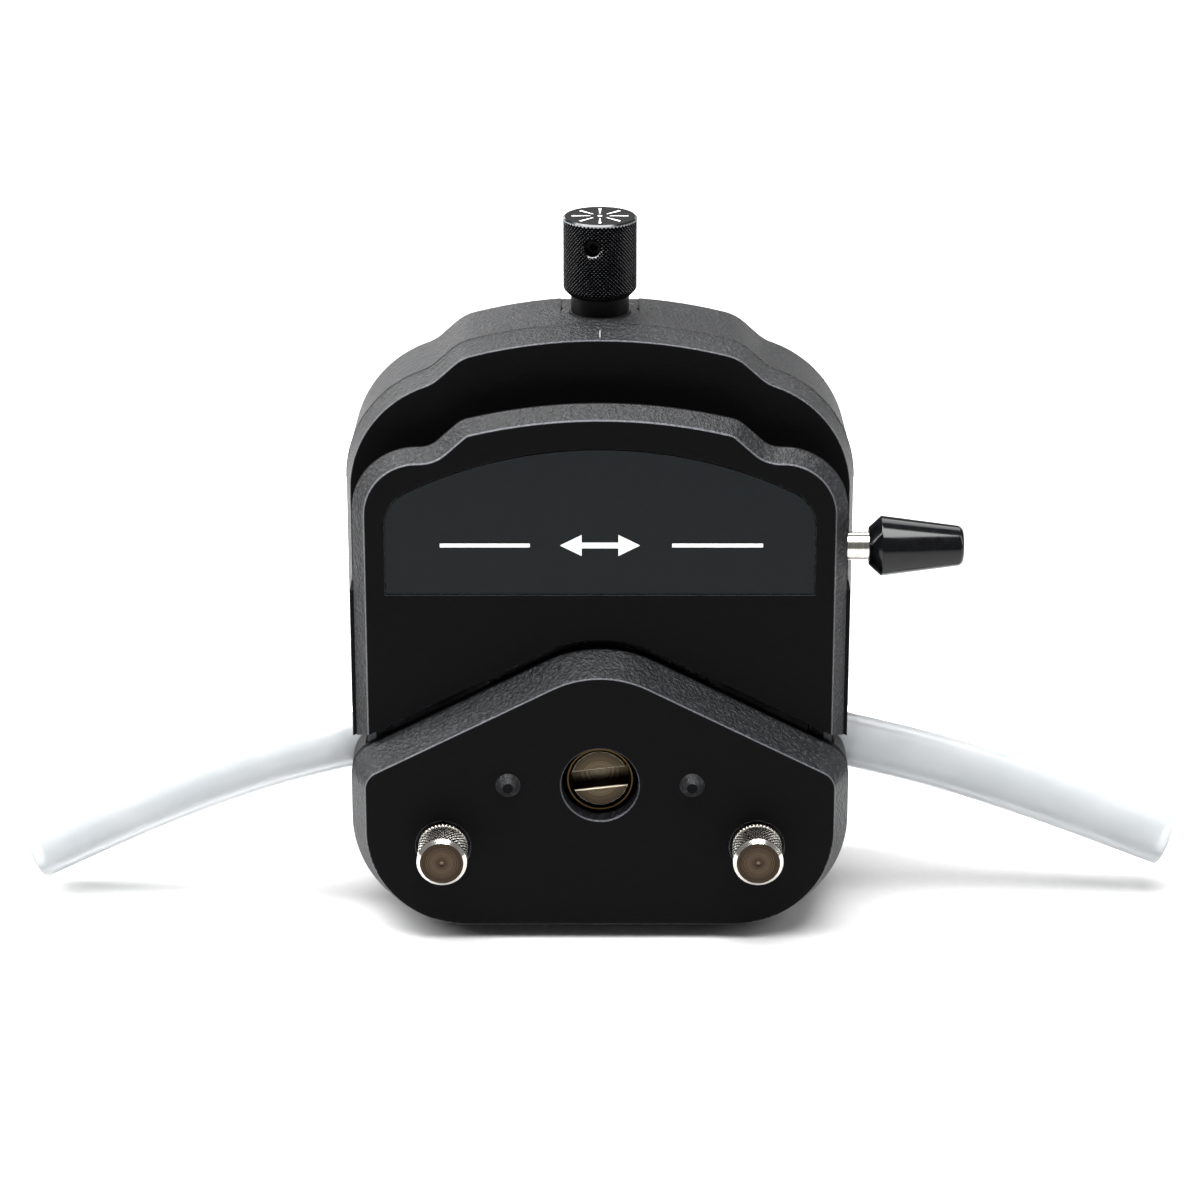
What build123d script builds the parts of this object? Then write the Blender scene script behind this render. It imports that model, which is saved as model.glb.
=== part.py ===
from build123d import *
import os
from math import atan, cos, degrees, pi, radians, sin, sqrt, tan

# Peristaltic pump head with a lever-lifted upper jaw, in millimetres.
# Frame: X to the right, Y to the back, Z up. The origin lies on the rotor's axis, in the
# rear face that bolts to the drive, so the whole body stands in front of it, at negative Y.

# ---- body as a whole
head_depth = 50.0          # front face of the lower cover to the rear mounting face
body_half = 52.5           # half width of the lower body
body_bottom = 35.4         # rotor axis to the flat underside
roof_rise = 30.3           # rotor axis to the crossing of the two roof lines
roof_angle = 27.0          # slope of each roof half
apex_r = 25.0              # rounding of the roof's ridge
eave_r = 7.5               # rounding between roof and side
foot_r = 24.4              # rounding of the lower corners
jaw_gap = 2.3              # gap between the roof and the closed jaw, square to the roof

# ---- lower cover
cover_depth = 11.0
cover_draft_depth = 8.8    # length of the drafted edge, measured along Y
cover_inset = 3.4          # how far the drafted edge leans in at the front face
stack_bump_x = 19.25       # the two locating cones for a second head
stack_bump_r = 2.7
stack_bump_tip_r = 1.05
stack_bump_h = 1.8

# ---- rotor chamber and tube troughs
chamber_r = 24.5
rear_wall = 12.0           # thickness of the wall that carries the rear bearing
side_wall = 3.0            # wall outside both troughs
trough_floor = -8.0        # floor of the lower trough
trough_ceiling = 17.0      # ceiling of the upper trough
tube_plane = 25.0          # centre plane of tube and rollers, in front of the rear face
clamp_slot_depth = 2.0     # how deep the tube clamps sit in their grooves
clamp_inset = 3.7          # clamp's middle to the end of the trough
clamp_thick = 3.0
clamp_split = 0.2          # half the gap between lower and upper clamp
clamp_clearance = 0.5      # clamp notch to the round tube
door_clearance = 0.9       # doorway in the side wall to the round tube

# ---- tubing
tube_od = 11.4
tube_id = 6.4
squeeze = 0.85             # squeezed tube over twice its wall
opening_share = 1.75       # length over which the squeezed tube turns round, over its diameter
bore_slit = 0.3            # what is left of the bore where the tube is squeezed
wrap_half_angle = 50.0     # half of the arc on which the rollers squeeze the tube
exit_out = 1.1             # where the free tube starts, outside the body
exit_angle = 13.5          # slope of the tube there
free_step = 11.4           # spacing along X of the free ends' bends
contact_gap = 0.3          # tube to roller, and tube to bed

# ---- rotor
roller_count = 4
roller_r = 6.5
roller_circle = 15.5       # rotor axis to roller axis
roller_length = 18.2
roller_bore_r = 4.0
roller_chamfer = 0.4
roller_bush_length = 6.0
spacer_gap = 0.7           # spacer round the shaft to the rollers
clip_thick = 0.8
clip_width = 1.3
axle_r = 2.0
flange_r = 20.5
flange_thick = 2.4
shaft_r = 6.1
shaft_recess = 3.7         # slotted shaft end behind the front face
slot_width = 4.0
slot_depth = 4.0
slot_turn = 6.7            # the slot's angle at rest
slot_chamfer = 0.3         # broken edges of the shaft's slotted end
tang_length = 7.0
tang_play = 0.1            # tang to the slot it fits, on each face
running_clearance = 0.05   # radial clearance of every running fit
side_clearance = 0.3       # clearance between flat faces that slide past each other

# ---- bearings of the rotor
bush_outer_r = 8.0
bush_rim_r = 6.95
bush_relief_r = 6.55
bush_relief_depth = 2.2
bush_recess = 3.3          # front rim of the bush behind the front face
cover_hole_r = 8.15
bearing_r = 10.5
bearing_width = 5.0
bearing_balls = 10
ball_r = 1.35
seal_width = 3.5
bearing_lip = 1.5          # seal to bearing, and bearing bore to the lip in front of it
race_reach = 0.55          # share of the ball's radius that each race leaves free
spigot_r = 14.0
spigot_h = 2.5

# ---- lever and its cam
lever_z = 47.5
lever_shaft_r = 4.0
lever_hub_r = 8.0
lever_bush_wall = 1.5
lever_bush_setback = 1.5   # rear lever bush in front of the bed's yoke
lever_rod_seat = 5.0       # lever axis to the rod's inner end
lever_rod_r = 3.0
handle_out = 3.5           # handle's inner end to the body's side
handle_length = 19.8
handle_end_r = 3.9
handle_max_r = 6.35
handle_tip_r = 4.1
handle_cone = 2.6          # length of the short cone at the rod's end
handle_bore_depth = 12.0
handle_edge_r = 1.2
jaw_lift = 9.0
cam_r = 20.0
cam_thick = 4.2
cam_groove_start = 16.2    # lever axis to follower pin with the jaw closed
cam_groove_depth = 2.8
cam_head_h = 0.5           # thin head of the screw that holds the cam
cam_hold = 7.0
follower_r = 2.0
follower_clearance = 0.15

# ---- jaw front plate and label
plate_front = 42.0         # front face of the plate, in front of the rear face
plate_thick = 4.0
plate_setback = 1.1        # plate's side to the body's side
plate_inset = 2.8
plate_draft_depth = 3.6
plate_shoulder_z = 70.7
plate_flat_out = 9.0       # where the shoulder's rounding starts, outside the crown's edge
plate_crown_z = 80.1
plate_crown_r = 115.0
plate_flank_r = 5.5
label_side = 7.1           # panel's side to the plate's side
label_bottom = 39.8
label_top = 71.1
label_arc_r = 90.0
label_corner_r = 8.0
label_thick = 0.35
label_recess = 0.45
label_margin = 0.4

# ---- jaw housing
housing_depth = 30.0
housing_setback = 0.3
housing_shoulder_z = 82.3
housing_flat_out = -0.2
housing_crown_z = 90.9
housing_crown_r = 107.0
housing_flank_r = 9.0
crown_half = 28.6          # half width of both crowns at the start of their flanks
flank_sink = 4.0           # how far the flanks are carried down into the shoulders
flank_angle = 42.0
parting_depth = 8.5        # mould parting line behind the housing's front face
front_draft = 1.2
rear_draft = 0.5
wall = 3.0
shelf_top = 39.0           # floor of the lever slot
shelf_thick = 2.5
back_cover_thick = 3.0
back_cover_bottom = 20.0
back_cover_top = 86.0
back_play = 0.15           # back cover to its recess

# ---- guide posts and crosshead
post_out = 1.25            # post's axis outside the middle between the bed's and the body's side
post_y = 7.1
post_r = 3.0
post_spigot_r = 2.0
post_depth = 23.0          # length of post inside the lower body
guide_bush_r = 4.0
guide_bush_length = 8.0
guide_bush_setback = 4.0   # lower bush above the roof
upper_bush_top = 46.0
crosshead_end = 4.0        # crosshead beyond the post's axis
crosshead_height = 8.0
crosshead_thick = 7.2

# ---- adjusting knob, spindle and bed
spindle_y = 11.5
spindle_r = 4.0
spindle_pitch = 1.0
spindle_end = 0.5          # spindle's end below the nut
spindle_step = 1.0         # shoulder under the knob
washer_play = 0.1
knob_r = 7.75
knob_top = 112.4
knob_bottom = 97.2
knob_chamfer = 1.7
knob_top_chamfer = 0.35
neck_r = 6.1
neck_bottom = 92.1
washer_thick = 0.5
spindle_bush_r = 5.5
recess_r = 8.3
recess_floor = 88.3
recess_web = 0.8           # thin web that closes the recess at the back
recess_web_top = 91.1
boss_half = 11.0
boss_gap = 3.5             # boss above the yoke
set_screw_hole_r = 1.8
set_screw_z = 107.2
set_screw_turn = -13.0
set_screw_length = 3.4
set_screw_seat = 2.3       # spindle axis to the flat the set screw bears on
set_screw_socket = 0.9
bed_half = 25.0
bed_top = 32.0
bed_angle = 52.0           # half of the angle that the bed spans
bed_hold = 4.0             # thread in the bed
bed_screw_x = 6.0
bed_screw_front = 5.0      # in front of the tube's centre plane
bed_screw_rear = 2.0       # behind it
yoke_half = 10.0
yoke_reach = 9.0           # yoke's foot in front of the tube's centre plane
yoke_foot_thick = 3.0
yoke_web_thick = 4.5
yoke_setback = 3.5         # yoke in front of the chamber's rear wall
window_clearance = 0.5     # lever shaft to the window in the yoke's web
yoke_flange_gap = 2.3      # yoke's flange above the crosshead
yoke_flange_thick = 6.5
nut_r = 6.0

# ---- thumb screws and fasteners
thumb_side = 19.5          # thumb screw's axis to the body's side
thumb_z = -14.0
thumb_head_r = 5.25
thumb_head_out = 8.6
thumb_head_chamfer = 0.7
thumb_counterbore_r = 5.7
thumb_counterbore_depth = 1.5
thumb_thread_r = 2.5
thumb_shank_r = 2.1        # relieved, so that the screw stays captive
thumb_reach = 9.0          # end of the thread behind the rear face
thumb_end_chamfer = 0.6
screw_r = 2.0
screw_head_r = 3.5
screw_head_h = 4.0
small_screw_r = 1.5
small_head_r = 2.75
hole_clearance = 0.25
edge_r = 0.4               # rounding of the moulded front edges
screw_sink = 1.0           # screw heads below the surface they are driven from
screw_hold = 6.0           # thread in the cover
cover_screw_side = 9.5     # outer cover screws to the body's side
plate_hold = 2.4           # thread in the front plate
blind_play = 0.5           # blind hole beyond the screw's end
socket_half = 1.5          # hexagon socket, across its flats
socket_depth = 2.2
nut_half = 3.5
nut_h = 3.2
nut_thread = 4.0           # post's thread above the crosshead
small_head_h = 1.6
small_hold = 5.0

# ---- worked out from the above
trough_half = body_half - side_wall
exit_x = body_half + exit_out
plate_half = body_half - plate_setback
plate_flat_half = crown_half + plate_flat_out
housing_half = body_half - housing_setback
housing_flat_half = crown_half + housing_flat_out
label_half = plate_half - label_side
post_x = (bed_half + body_half) / 2 + post_out
crosshead_half = post_x + crosshead_end
thumb_x = body_half - thumb_side
handle_start = body_half + handle_out
front_y = -head_depth
cover_rear_y = front_y + cover_depth
chamber_rear_y = -rear_wall
plate_front_y = -plate_front
plate_rear_y = plate_front_y + plate_thick
housing_front_y = -housing_depth
tube_y = -tube_plane
roof_slope = tan(radians(roof_angle))
tube_wall = (tube_od - tube_id) / 2
squeezed_thick = 2 * tube_wall * squeeze
sweep_r = roller_circle + roller_r
tube_inner_r = sweep_r + contact_gap
tube_mid_r = tube_inner_r + squeezed_thick / 2
tube_outer_r = tube_inner_r + squeezed_thick
bed_r = tube_outer_r + contact_gap
flange_gap = roller_length / 2 + side_clearance
flange_front_y = tube_y - flange_gap - flange_thick
flange_rear_y = tube_y + flange_gap + flange_thick
yoke_rear_y = chamber_rear_y - yoke_setback
yoke_front_y = yoke_rear_y - yoke_web_thick
cam_front_y = yoke_rear_y + side_clearance
cam_rear_y = cam_front_y + cam_thick
crosshead_front_y = cam_rear_y + side_clearance
crosshead_z = lever_z + cam_groove_start - crosshead_height / 2
yoke_flange_z = crosshead_z + crosshead_height + yoke_flange_gap
boss_bottom = yoke_flange_z + yoke_flange_thick + boss_gap
spindle_bottom = yoke_flange_z - spindle_end
bearing_mid_y = -seal_width - bearing_lip - bearing_width / 2
ball_circle = (bearing_r + shaft_r) / 2
rod_y = (plate_rear_y + housing_front_y) / 2
lever_bush_r = lever_shaft_r + lever_bush_wall
lever_bush_rear_y = yoke_front_y - lever_bush_setback
spindle_tail_r = spindle_r - spindle_step
bush_top_z = neck_bottom - washer_thick - washer_play
screw_clear_r = screw_r + hole_clearance
small_clear_r = small_screw_r + hole_clearance
small_seat_y = -small_head_h - 0.2
pocket_top = shelf_top - shelf_thick
cam_space_bottom = lever_z - cam_r - 3.0
yoke_space_bottom = 20.0
post_bottom_z = roof_rise - post_x * roof_slope - post_depth
bed_rear_y = yoke_rear_y
bed_front_y = plate_rear_y + side_clearance
pocket_half = bed_half + side_clearance
jaw_screw_x = (pocket_half + post_x - guide_bush_r) / 2


def layer(outline, y_front, y_rear):
    """Solid of an outline drawn in X and Z, between two depths."""
    return extrude(Plane.XZ.offset(-y_rear) * outline, y_rear - y_front)


def disc(x, z, r, y_front, y_rear):
    """Cylinder along Y."""
    return layer(Pos(x, z) * Circle(r), y_front, y_rear)


def ring(x, z, r_out, r_in, y_front, y_rear):
    return layer(Pos(x, z) * (Circle(r_out) - Circle(r_in)), y_front, y_rear)


def block(x0, x1, y0, y1, z0, z1):
    return Pos((x0 + x1) / 2, (y0 + y1) / 2, (z0 + z1) / 2) * Box(x1 - x0, y1 - y0, z1 - z0)


def rod_up(x, y, r, z0, z1):
    """Cylinder along Z."""
    return Pos(x, y, (z0 + z1) / 2) * Cylinder(r, z1 - z0)


def both_sides(shape):
    """The shape and its mirror image in the plane x = 0."""
    return [shape, mirror(shape, Plane.YZ)]


def box_outline(half, z0, z1):
    return Pos(0, (z0 + z1) / 2) * Rectangle(2 * half, z1 - z0)


def roof_outline(gap, half, bottom):
    """Everything below the roof lines, which stand a gap above the lower body."""
    ridge = roof_rise + gap / cos(radians(roof_angle))
    eave = ridge - half * roof_slope
    points = [(-half, bottom), (half, bottom), (half, eave), (0, ridge), (-half, eave)]
    outline = make_face(Polyline(*points, close=True))
    return fillet(outline.vertices().sort_by(Axis.Y)[-1], apex_r + gap)


def lower_outline():
    outline = roof_outline(0, body_half, -body_bottom)
    by_height = outline.vertices().sort_by(Axis.Y)
    outline = fillet(by_height[:2], foot_r)
    eaves = [v for v in outline.vertices() if abs(v.X) > body_half - 0.01 and v.Y > 0]
    return fillet(eaves, eave_r)


def crowned_outline(half, flat_half, shoulder_z, crown_z, crown_r, flank_r):
    """Round-shouldered block with a shallow crown on top, as both jaw pieces have."""
    shoulders = box_outline(half, 0, shoulder_z)
    shoulders = fillet(shoulders.vertices().sort_by(Axis.Y)[-2:], half - flat_half)
    crown_edge = crown_z - crown_r + sqrt(crown_r**2 - crown_half**2)
    flank = radians(flank_angle)
    flank_foot_z = shoulder_z - flank_sink
    flank_run = (crown_edge - flank_foot_z) / tan(flank)
    foot = crown_half + flank_run
    trapezium = make_face(
        Polyline(
            (-foot, flank_foot_z),
            (foot, flank_foot_z),
            (crown_half, crown_edge),
            (crown_half, crown_z + 1),
            (-crown_half, crown_z + 1),
            (-crown_half, crown_edge),
            close=True,
        )
    )
    crown = trapezium & (Pos(0, crown_z - crown_r) * Circle(crown_r))
    outline = shoulders + crown
    corners = [
        v for v in outline.vertices()
        if abs((abs(v.X) - crown_half) * sin(flank) + (v.Y - crown_edge) * cos(flank)) < 0.01
    ]
    return fillet(corners, flank_r)


def plate_outline():
    return crowned_outline(
        plate_half, plate_flat_half, plate_shoulder_z, plate_crown_z, plate_crown_r, plate_flank_r
    )


def housing_outline():
    return crowned_outline(
        housing_half, housing_flat_half, housing_shoulder_z, housing_crown_z, housing_crown_r,
        housing_flank_r,
    )


def tube_route():
    """Right half of the tube's centre line: bend radius and straight length after the squeezed arc."""
    a, b = radians(wrap_half_angle), radians(exit_angle)
    start_x, start_z = tube_mid_r * sin(a), tube_mid_r * cos(a)
    run_x, rise = sin(a) - sin(b), cos(b) - cos(a)
    span = exit_x - start_x
    bend = (start_z - span * tan(b)) / (rise - run_x * tan(b))
    straight = (span - bend * run_x) / cos(b)
    return start_x, start_z, bend, straight


def tube_station(s):
    """Point and slope of the tube's centre line at a length s after the squeezed arc."""
    start_x, start_z, bend, straight = tube_route()
    a, b = radians(wrap_half_angle), radians(exit_angle)
    turn = min(s / bend, a - b)
    slope = a - turn
    rest = max(0.0, s - bend * (a - b))
    x = start_x + bend * (sin(a) - sin(slope)) + rest * cos(slope)
    z = start_z - bend * (cos(slope) - cos(a)) - rest * sin(slope)
    return x, z, slope


def tube_height(x):
    """Height of the tube's centre line over the straight stretch by the clamps."""
    return (exit_x - x) * tan(radians(exit_angle))


clamp_x = trough_half - clamp_inset
clamp_z = tube_height(clamp_x)

# thumb screws pass the whole depth; four screws hold the cover from behind
cover_screw_places = [(body_half - cover_screw_side, -18.0), (23.0, -28.5)]
jaw_screw_places = [(jaw_screw_x, 23.0), (jaw_screw_x, 34.0)]
back_screw_places = [(24.0, 30.0), (7.8, 83.0)]


def base_housing():
    body = layer(lower_outline(), cover_rear_y, 0)
    body -= disc(0, 0, chamber_r, cover_rear_y, chamber_rear_y)
    body -= block(-chamber_r, chamber_r, cover_rear_y, chamber_rear_y, 0, roof_rise)
    for side in (-1, 1):
        x_in, x_out = sorted((side * (chamber_r - 3), side * trough_half))
        body -= block(x_in, x_out, cover_rear_y, chamber_rear_y, trough_floor, roof_rise)
        slot_x = side * clamp_x
        groove_bottom = trough_floor - clamp_slot_depth
        body -= block(
            slot_x - clamp_thick / 2, slot_x + clamp_thick / 2,
            cover_rear_y, chamber_rear_y, groove_bottom, trough_floor + 1,
        )
        body -= tube_doorway(side, trough_half - 1, body_half + 1)
        body -= rod_up(side * post_x, -post_y, post_r, post_bottom_z, roof_rise)
        body -= disc(side * thumb_x, thumb_z, thumb_thread_r + hole_clearance, cover_rear_y, 0)
        body -= disc(side * stack_bump_x, 0, stack_bump_r + hole_clearance, -stack_bump_h - blind_play, 0)
        for x, z in cover_screw_places:
            body -= disc(side * x, z, screw_clear_r, cover_rear_y, 0)
            body -= disc(side * x, z, screw_head_r + hole_clearance, -screw_head_h - screw_sink, 0)
    body += ring(0, 0, spigot_r, bearing_r, 0, spigot_h)
    body -= disc(0, 0, bearing_r, bearing_mid_y - bearing_width / 2, spigot_h)
    body -= disc(0, 0, bearing_r - bearing_lip, chamber_rear_y, 0)
    return body


def tube_doorway(side, x_in, x_out):
    """Opening through a side wall that clears the tube, and is open to the parting line."""
    r = tube_od / 2 + door_clearance
    z = tube_height((x_in + x_out) / 2)
    arch = Plane.YZ * (Pos(tube_y, z) * Circle(r) + Pos(tube_y, z + r) * Rectangle(2 * r, 2 * r))
    door = Pos(x_in, 0, 0) * extrude(arch, x_out - x_in)
    return door if side > 0 else mirror(door, Plane.YZ)


def front_cover():
    body = layer(lower_outline(), front_y, cover_rear_y)
    front = body.faces().sort_by(Axis.Y)[0]
    body = chamfer(front.edges(), length=cover_inset, length2=cover_draft_depth, reference=front)
    body = fillet(body.faces().sort_by(Axis.Y)[0].edges(), edge_r)
    cone = Cone(stack_bump_r, stack_bump_tip_r, stack_bump_h)
    for side in (-1, 1):
        body += Pos(side * stack_bump_x, front_y - stack_bump_h / 2, 0) * Rot(90, 0, 0) * cone
        x = side * thumb_x
        body -= disc(x, thumb_z, thumb_thread_r + hole_clearance, front_y, cover_rear_y)
        body -= disc(x, thumb_z, thumb_counterbore_r, front_y, front_y + thumb_counterbore_depth)
        for sx, sz in cover_screw_places:
            body -= disc(side * sx, sz, screw_r, cover_rear_y - screw_hold - blind_play, cover_rear_y)
    taper = Cone(bush_outer_r, cover_hole_r, bush_recess)
    body -= disc(0, 0, bush_outer_r, front_y + bush_recess, cover_rear_y)
    body -= Pos(0, front_y + bush_recess / 2, 0) * Rot(90, 0, 0) * taper
    front = [f for f in body.faces().filter_by(Plane.XZ) if abs(f.center().Y - front_y) < 0.01][0]
    wide = [
        e for wire in front.inner_wires() for e in wire.edges()
        if e.geom_type == GeomType.CIRCLE and e.radius > thumb_head_r
    ]
    return fillet(wide, edge_r)


def front_bush():
    rim_y = front_y + bush_recess
    body = disc(0, 0, bush_outer_r, rim_y, cover_rear_y)
    body = chamfer(body.edges().sort_by(Axis.Y)[0], bush_outer_r - bush_rim_r)
    body -= disc(0, 0, shaft_r + running_clearance, rim_y, cover_rear_y)
    return body - disc(0, 0, bush_relief_r, rim_y, rim_y + bush_relief_depth)


def bearing_race(r_out, r_in):
    half = bearing_width / 2
    body = ring(0, 0, r_out, r_in, bearing_mid_y - half, bearing_mid_y + half)
    groove = Pos(0, bearing_mid_y, 0) * Rot(90, 0, 0) * Torus(ball_circle, ball_r + running_clearance)
    return body - groove


def race_split(share):
    return ball_circle + share * ball_r * race_reach


def rear_bearing_outer():
    return bearing_race(bearing_r, race_split(1))


def rear_bearing_inner():
    return bearing_race(race_split(-1), shaft_r)


def rear_bearing_balls():
    ball = Pos(ball_circle, bearing_mid_y, 0) * Sphere(ball_r)
    return [Rot(0, k * 360 / bearing_balls, 0) * ball for k in range(bearing_balls)]


def rear_seal():
    return ring(0, 0, bearing_r, shaft_r + running_clearance, -seal_width, 0)


def rotor_shaft():
    body = disc(0, 0, shaft_r, front_y + shaft_recess, 0)
    end_y = front_y + shaft_recess
    slot = block(-2 * shaft_r, 2 * shaft_r, end_y, end_y + slot_depth, -slot_width / 2, slot_width / 2)
    tang_half = slot_width / 2 - tang_play
    tang = block(-shaft_r, shaft_r, 0, tang_length, -tang_half, tang_half)
    tang &= disc(0, 0, shaft_r, 0, tang_length)
    turned = Rot(0, -slot_turn, 0)
    body -= turned * slot
    end_edges = [e for face in body.faces().sort_by(Axis.Y)[:2] for e in face.edges()]
    body = chamfer(end_edges, slot_chamfer)
    return body + turned * tang


def roller_places():
    step = 360 / roller_count
    return [Rot(0, -(45 + k * step), 0) * Pos(roller_circle, 0, 0) for k in range(roller_count)]


def rotor_flange(y_front, y_rear):
    """Disc with a bay between each pair of rollers."""
    body = ring(0, 0, flange_r, shaft_r, y_front, y_rear)
    bay_x = flange_r + 1.5
    for k in range(roller_count):
        turn = Rot(0, -(k * 360 / roller_count), 0)
        body -= turn * disc(bay_x, 0, roller_r, y_front, y_rear)
    for place in roller_places():
        body -= place * disc(0, 0, axle_r, y_front, y_rear)
    return body


def rotor_flange_front():
    return rotor_flange(flange_front_y, flange_front_y + flange_thick)


def rotor_flange_rear():
    return rotor_flange(flange_rear_y - flange_thick, flange_rear_y)


def rotor_spacer():
    r_out = roller_circle - roller_r - spacer_gap
    return ring(0, 0, r_out, shaft_r, flange_front_y + flange_thick, flange_rear_y - flange_thick)


def roller_axles():
    pin = disc(0, 0, axle_r, flange_front_y - clip_thick - side_clearance, flange_rear_y)
    return [place * pin for place in roller_places()]


def axle_clips():
    clip = ring(0, 0, axle_r + clip_width, axle_r, flange_front_y - clip_thick, flange_front_y)
    return [place * clip for place in roller_places()]


def roller(place):
    half = roller_length / 2
    body = ring(0, 0, roller_r, roller_bore_r, tube_y - half, tube_y + half)
    rims = body.edges().filter_by(GeomType.CIRCLE).sort_by(SortBy.RADIUS)[-2:]
    body = chamfer(rims, roller_chamfer)
    return place * body


def roller_bushes(place):
    end_y = tube_y - roller_length / 2
    sleeve = ring(0, 0, roller_bore_r, axle_r + running_clearance, end_y, end_y + roller_bush_length)
    return [place * sleeve, place * mirror(sleeve, Plane.XZ.offset(-tube_y))]


def guide_posts():
    shoulder_z = crosshead_z
    post = rod_up(post_x, -post_y, post_r, post_bottom_z, shoulder_z)
    post += rod_up(post_x, -post_y, post_spigot_r, shoulder_z, shoulder_z + crosshead_height + nut_thread)
    return both_sides(post)


def lift_crosshead():
    y0, y1 = crosshead_front_y, crosshead_front_y + crosshead_thick
    body = block(-crosshead_half, crosshead_half, y0, y1, crosshead_z, crosshead_z + crosshead_height)
    body = fillet(body.edges().filter_by(Axis.Y), 2.5)
    for side in (-1, 1):
        body -= rod_up(side * post_x, -post_y, post_spigot_r, crosshead_z, crosshead_z + crosshead_height)
    return body - disc(0, lever_z + cam_groove_start, follower_r, y0, y1)


def crosshead_nuts():
    z = crosshead_z + crosshead_height
    hexagon = RegularPolygon(nut_half, 6, major_radius=False) - Circle(post_spigot_r)
    nut = Pos(post_x, -post_y, z) * extrude(hexagon, nut_h)
    return both_sides(nut)


def follower_pin():
    front = cam_rear_y - cam_groove_depth + side_clearance
    return disc(0, lever_z + cam_groove_start, follower_r, front, crosshead_front_y + crosshead_thick)


def tube_clamp(z0, z1):
    """Plate with a square notch on its corner, which grips the tube between two such plates."""
    y0, y1 = plate_rear_y + 2 * side_clearance, chamber_rear_y - side_clearance
    half = clamp_thick / 2
    body = block(clamp_x - half, clamp_x + half, y0, y1, z0, z1)
    side = tube_od + 2 * clamp_clearance
    diamond = Plane.YZ * (Pos(tube_y, clamp_z) * Rot(0, 0, 45) * Rectangle(side, side))
    return body - Pos(clamp_x - half, 0, 0) * extrude(diamond, clamp_thick)


def lower_tube_clamps():
    return both_sides(tube_clamp(trough_floor - clamp_slot_depth, clamp_z - clamp_split))


def upper_tube_clamps():
    return both_sides(tube_clamp(clamp_z + clamp_split, trough_ceiling + clamp_slot_depth))


def cover_screws():
    screws = []
    for x, z in cover_screw_places:
        head_y = -screw_sink - screw_head_h
        screw = disc(x, z, screw_r, cover_rear_y - screw_hold, head_y)
        screw += disc(x, z, screw_head_r, head_y, -screw_sink)
        socket = Pos(x, z) * RegularPolygon(socket_half, 6, major_radius=False)
        screws += both_sides(screw - layer(socket, -screw_sink - socket_depth, -screw_sink))
    return screws


def jaw_housing():
    outline = housing_outline()
    parting = offset(outline, front_draft)
    parting_y = housing_front_y + parting_depth
    front_taper = degrees(atan(front_draft / parting_depth))
    rear_taper = degrees(atan(rear_draft / -parting_y))
    body = extrude(Plane.XZ.offset(-parting_y) * parting, parting_depth, taper=front_taper)
    body += extrude(Plane.XZ.offset(-parting_y) * parting, parting_y, taper=rear_taper)
    front = body.faces().sort_by(Axis.Y)[0]
    body = fillet([e for e in front.edges() if e.center().Z > 0.1], edge_r)
    body += layer(outline & box_outline(housing_half, 0, shelf_top), plate_rear_y, housing_front_y)
    body -= layer(roof_outline(jaw_gap, 1.5 * body_half, -body_bottom), plate_rear_y, 0)
    # pocket for bed and rotor, and the two troughs for the tube
    body -= block(-pocket_half, pocket_half, plate_rear_y, chamber_rear_y, 0, pocket_top)
    for side in (-1, 1):
        x_in, x_out = sorted((side * (pocket_half - 1), side * trough_half))
        body -= block(x_in, x_out, plate_rear_y, chamber_rear_y, 0, trough_ceiling)
        x0 = side * clamp_x - clamp_thick / 2
        body -= block(
            x0, x0 + clamp_thick, plate_rear_y, chamber_rear_y,
            trough_ceiling, trough_ceiling + clamp_slot_depth,
        )
        body -= upper_doorway(side)
    # mechanism space behind the lever slot, open to the back and closed by the back cover
    inner = offset(outline, -wall)
    space = inner & box_outline(housing_half, upper_bush_top, housing_crown_z)
    space -= box_outline(boss_half, boss_bottom, housing_crown_z)
    body -= layer(space, housing_front_y + wall, -back_cover_thick)
    body -= layer(box_outline(cam_r + 2, cam_space_bottom, upper_bush_top + 1),
                  housing_front_y + wall, crosshead_front_y)
    body -= block(
        -cam_r - 2, cam_r + 2, housing_front_y + wall, chamber_rear_y, yoke_space_bottom, pocket_top
    )
    body += ring(0, lever_z, lever_hub_r, lever_shaft_r, housing_front_y, lever_bush_rear_y)
    body -= disc(0, lever_z, lever_bush_r, housing_front_y, lever_bush_rear_y)
    body -= layer(back_outline(0), -back_cover_thick, 0)
    # bores for the guide bushes, the spindle and the screws
    for side in (-1, 1):
        body -= rod_up(side * post_x, -post_y, guide_bush_r, 0, upper_bush_top + 1)
        for x, z in jaw_screw_places:
            body -= disc(side * x, z, screw_clear_r, plate_rear_y, 0)
            body -= disc(side * x, z, screw_head_r + hole_clearance, chamber_rear_y + screw_sink, 0)
        for x, z in back_screw_places:
            body -= disc(side * x, z, small_screw_r, -back_cover_thick - small_hold - blind_play, 0)
    body -= rod_up(0, -spindle_y, spindle_bush_r, boss_bottom, housing_crown_z)
    body -= rod_up(0, -spindle_y, recess_r, recess_floor, housing_crown_z + 3)
    body -= block(-recess_r, recess_r, -spindle_y, -recess_web, recess_floor, housing_crown_z + 3)
    return body - block(-recess_r, recess_r, -spindle_y, 1, recess_web_top, housing_crown_z + 3)


def upper_doorway(side):
    """Arch in the jaw's side wall over the tube."""
    r = tube_od / 2 + door_clearance
    z = tube_height(trough_half)
    arch = Plane.YZ * (Pos(tube_y, z) * Circle(r) + Pos(tube_y, z - r) * Rectangle(2 * r, 2 * r))
    x_in, x_out = trough_half - 1, housing_half + 3
    door = Pos(x_in, 0, 0) * extrude(arch, x_out - x_in)
    return door if side > 0 else mirror(door, Plane.YZ)


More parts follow.
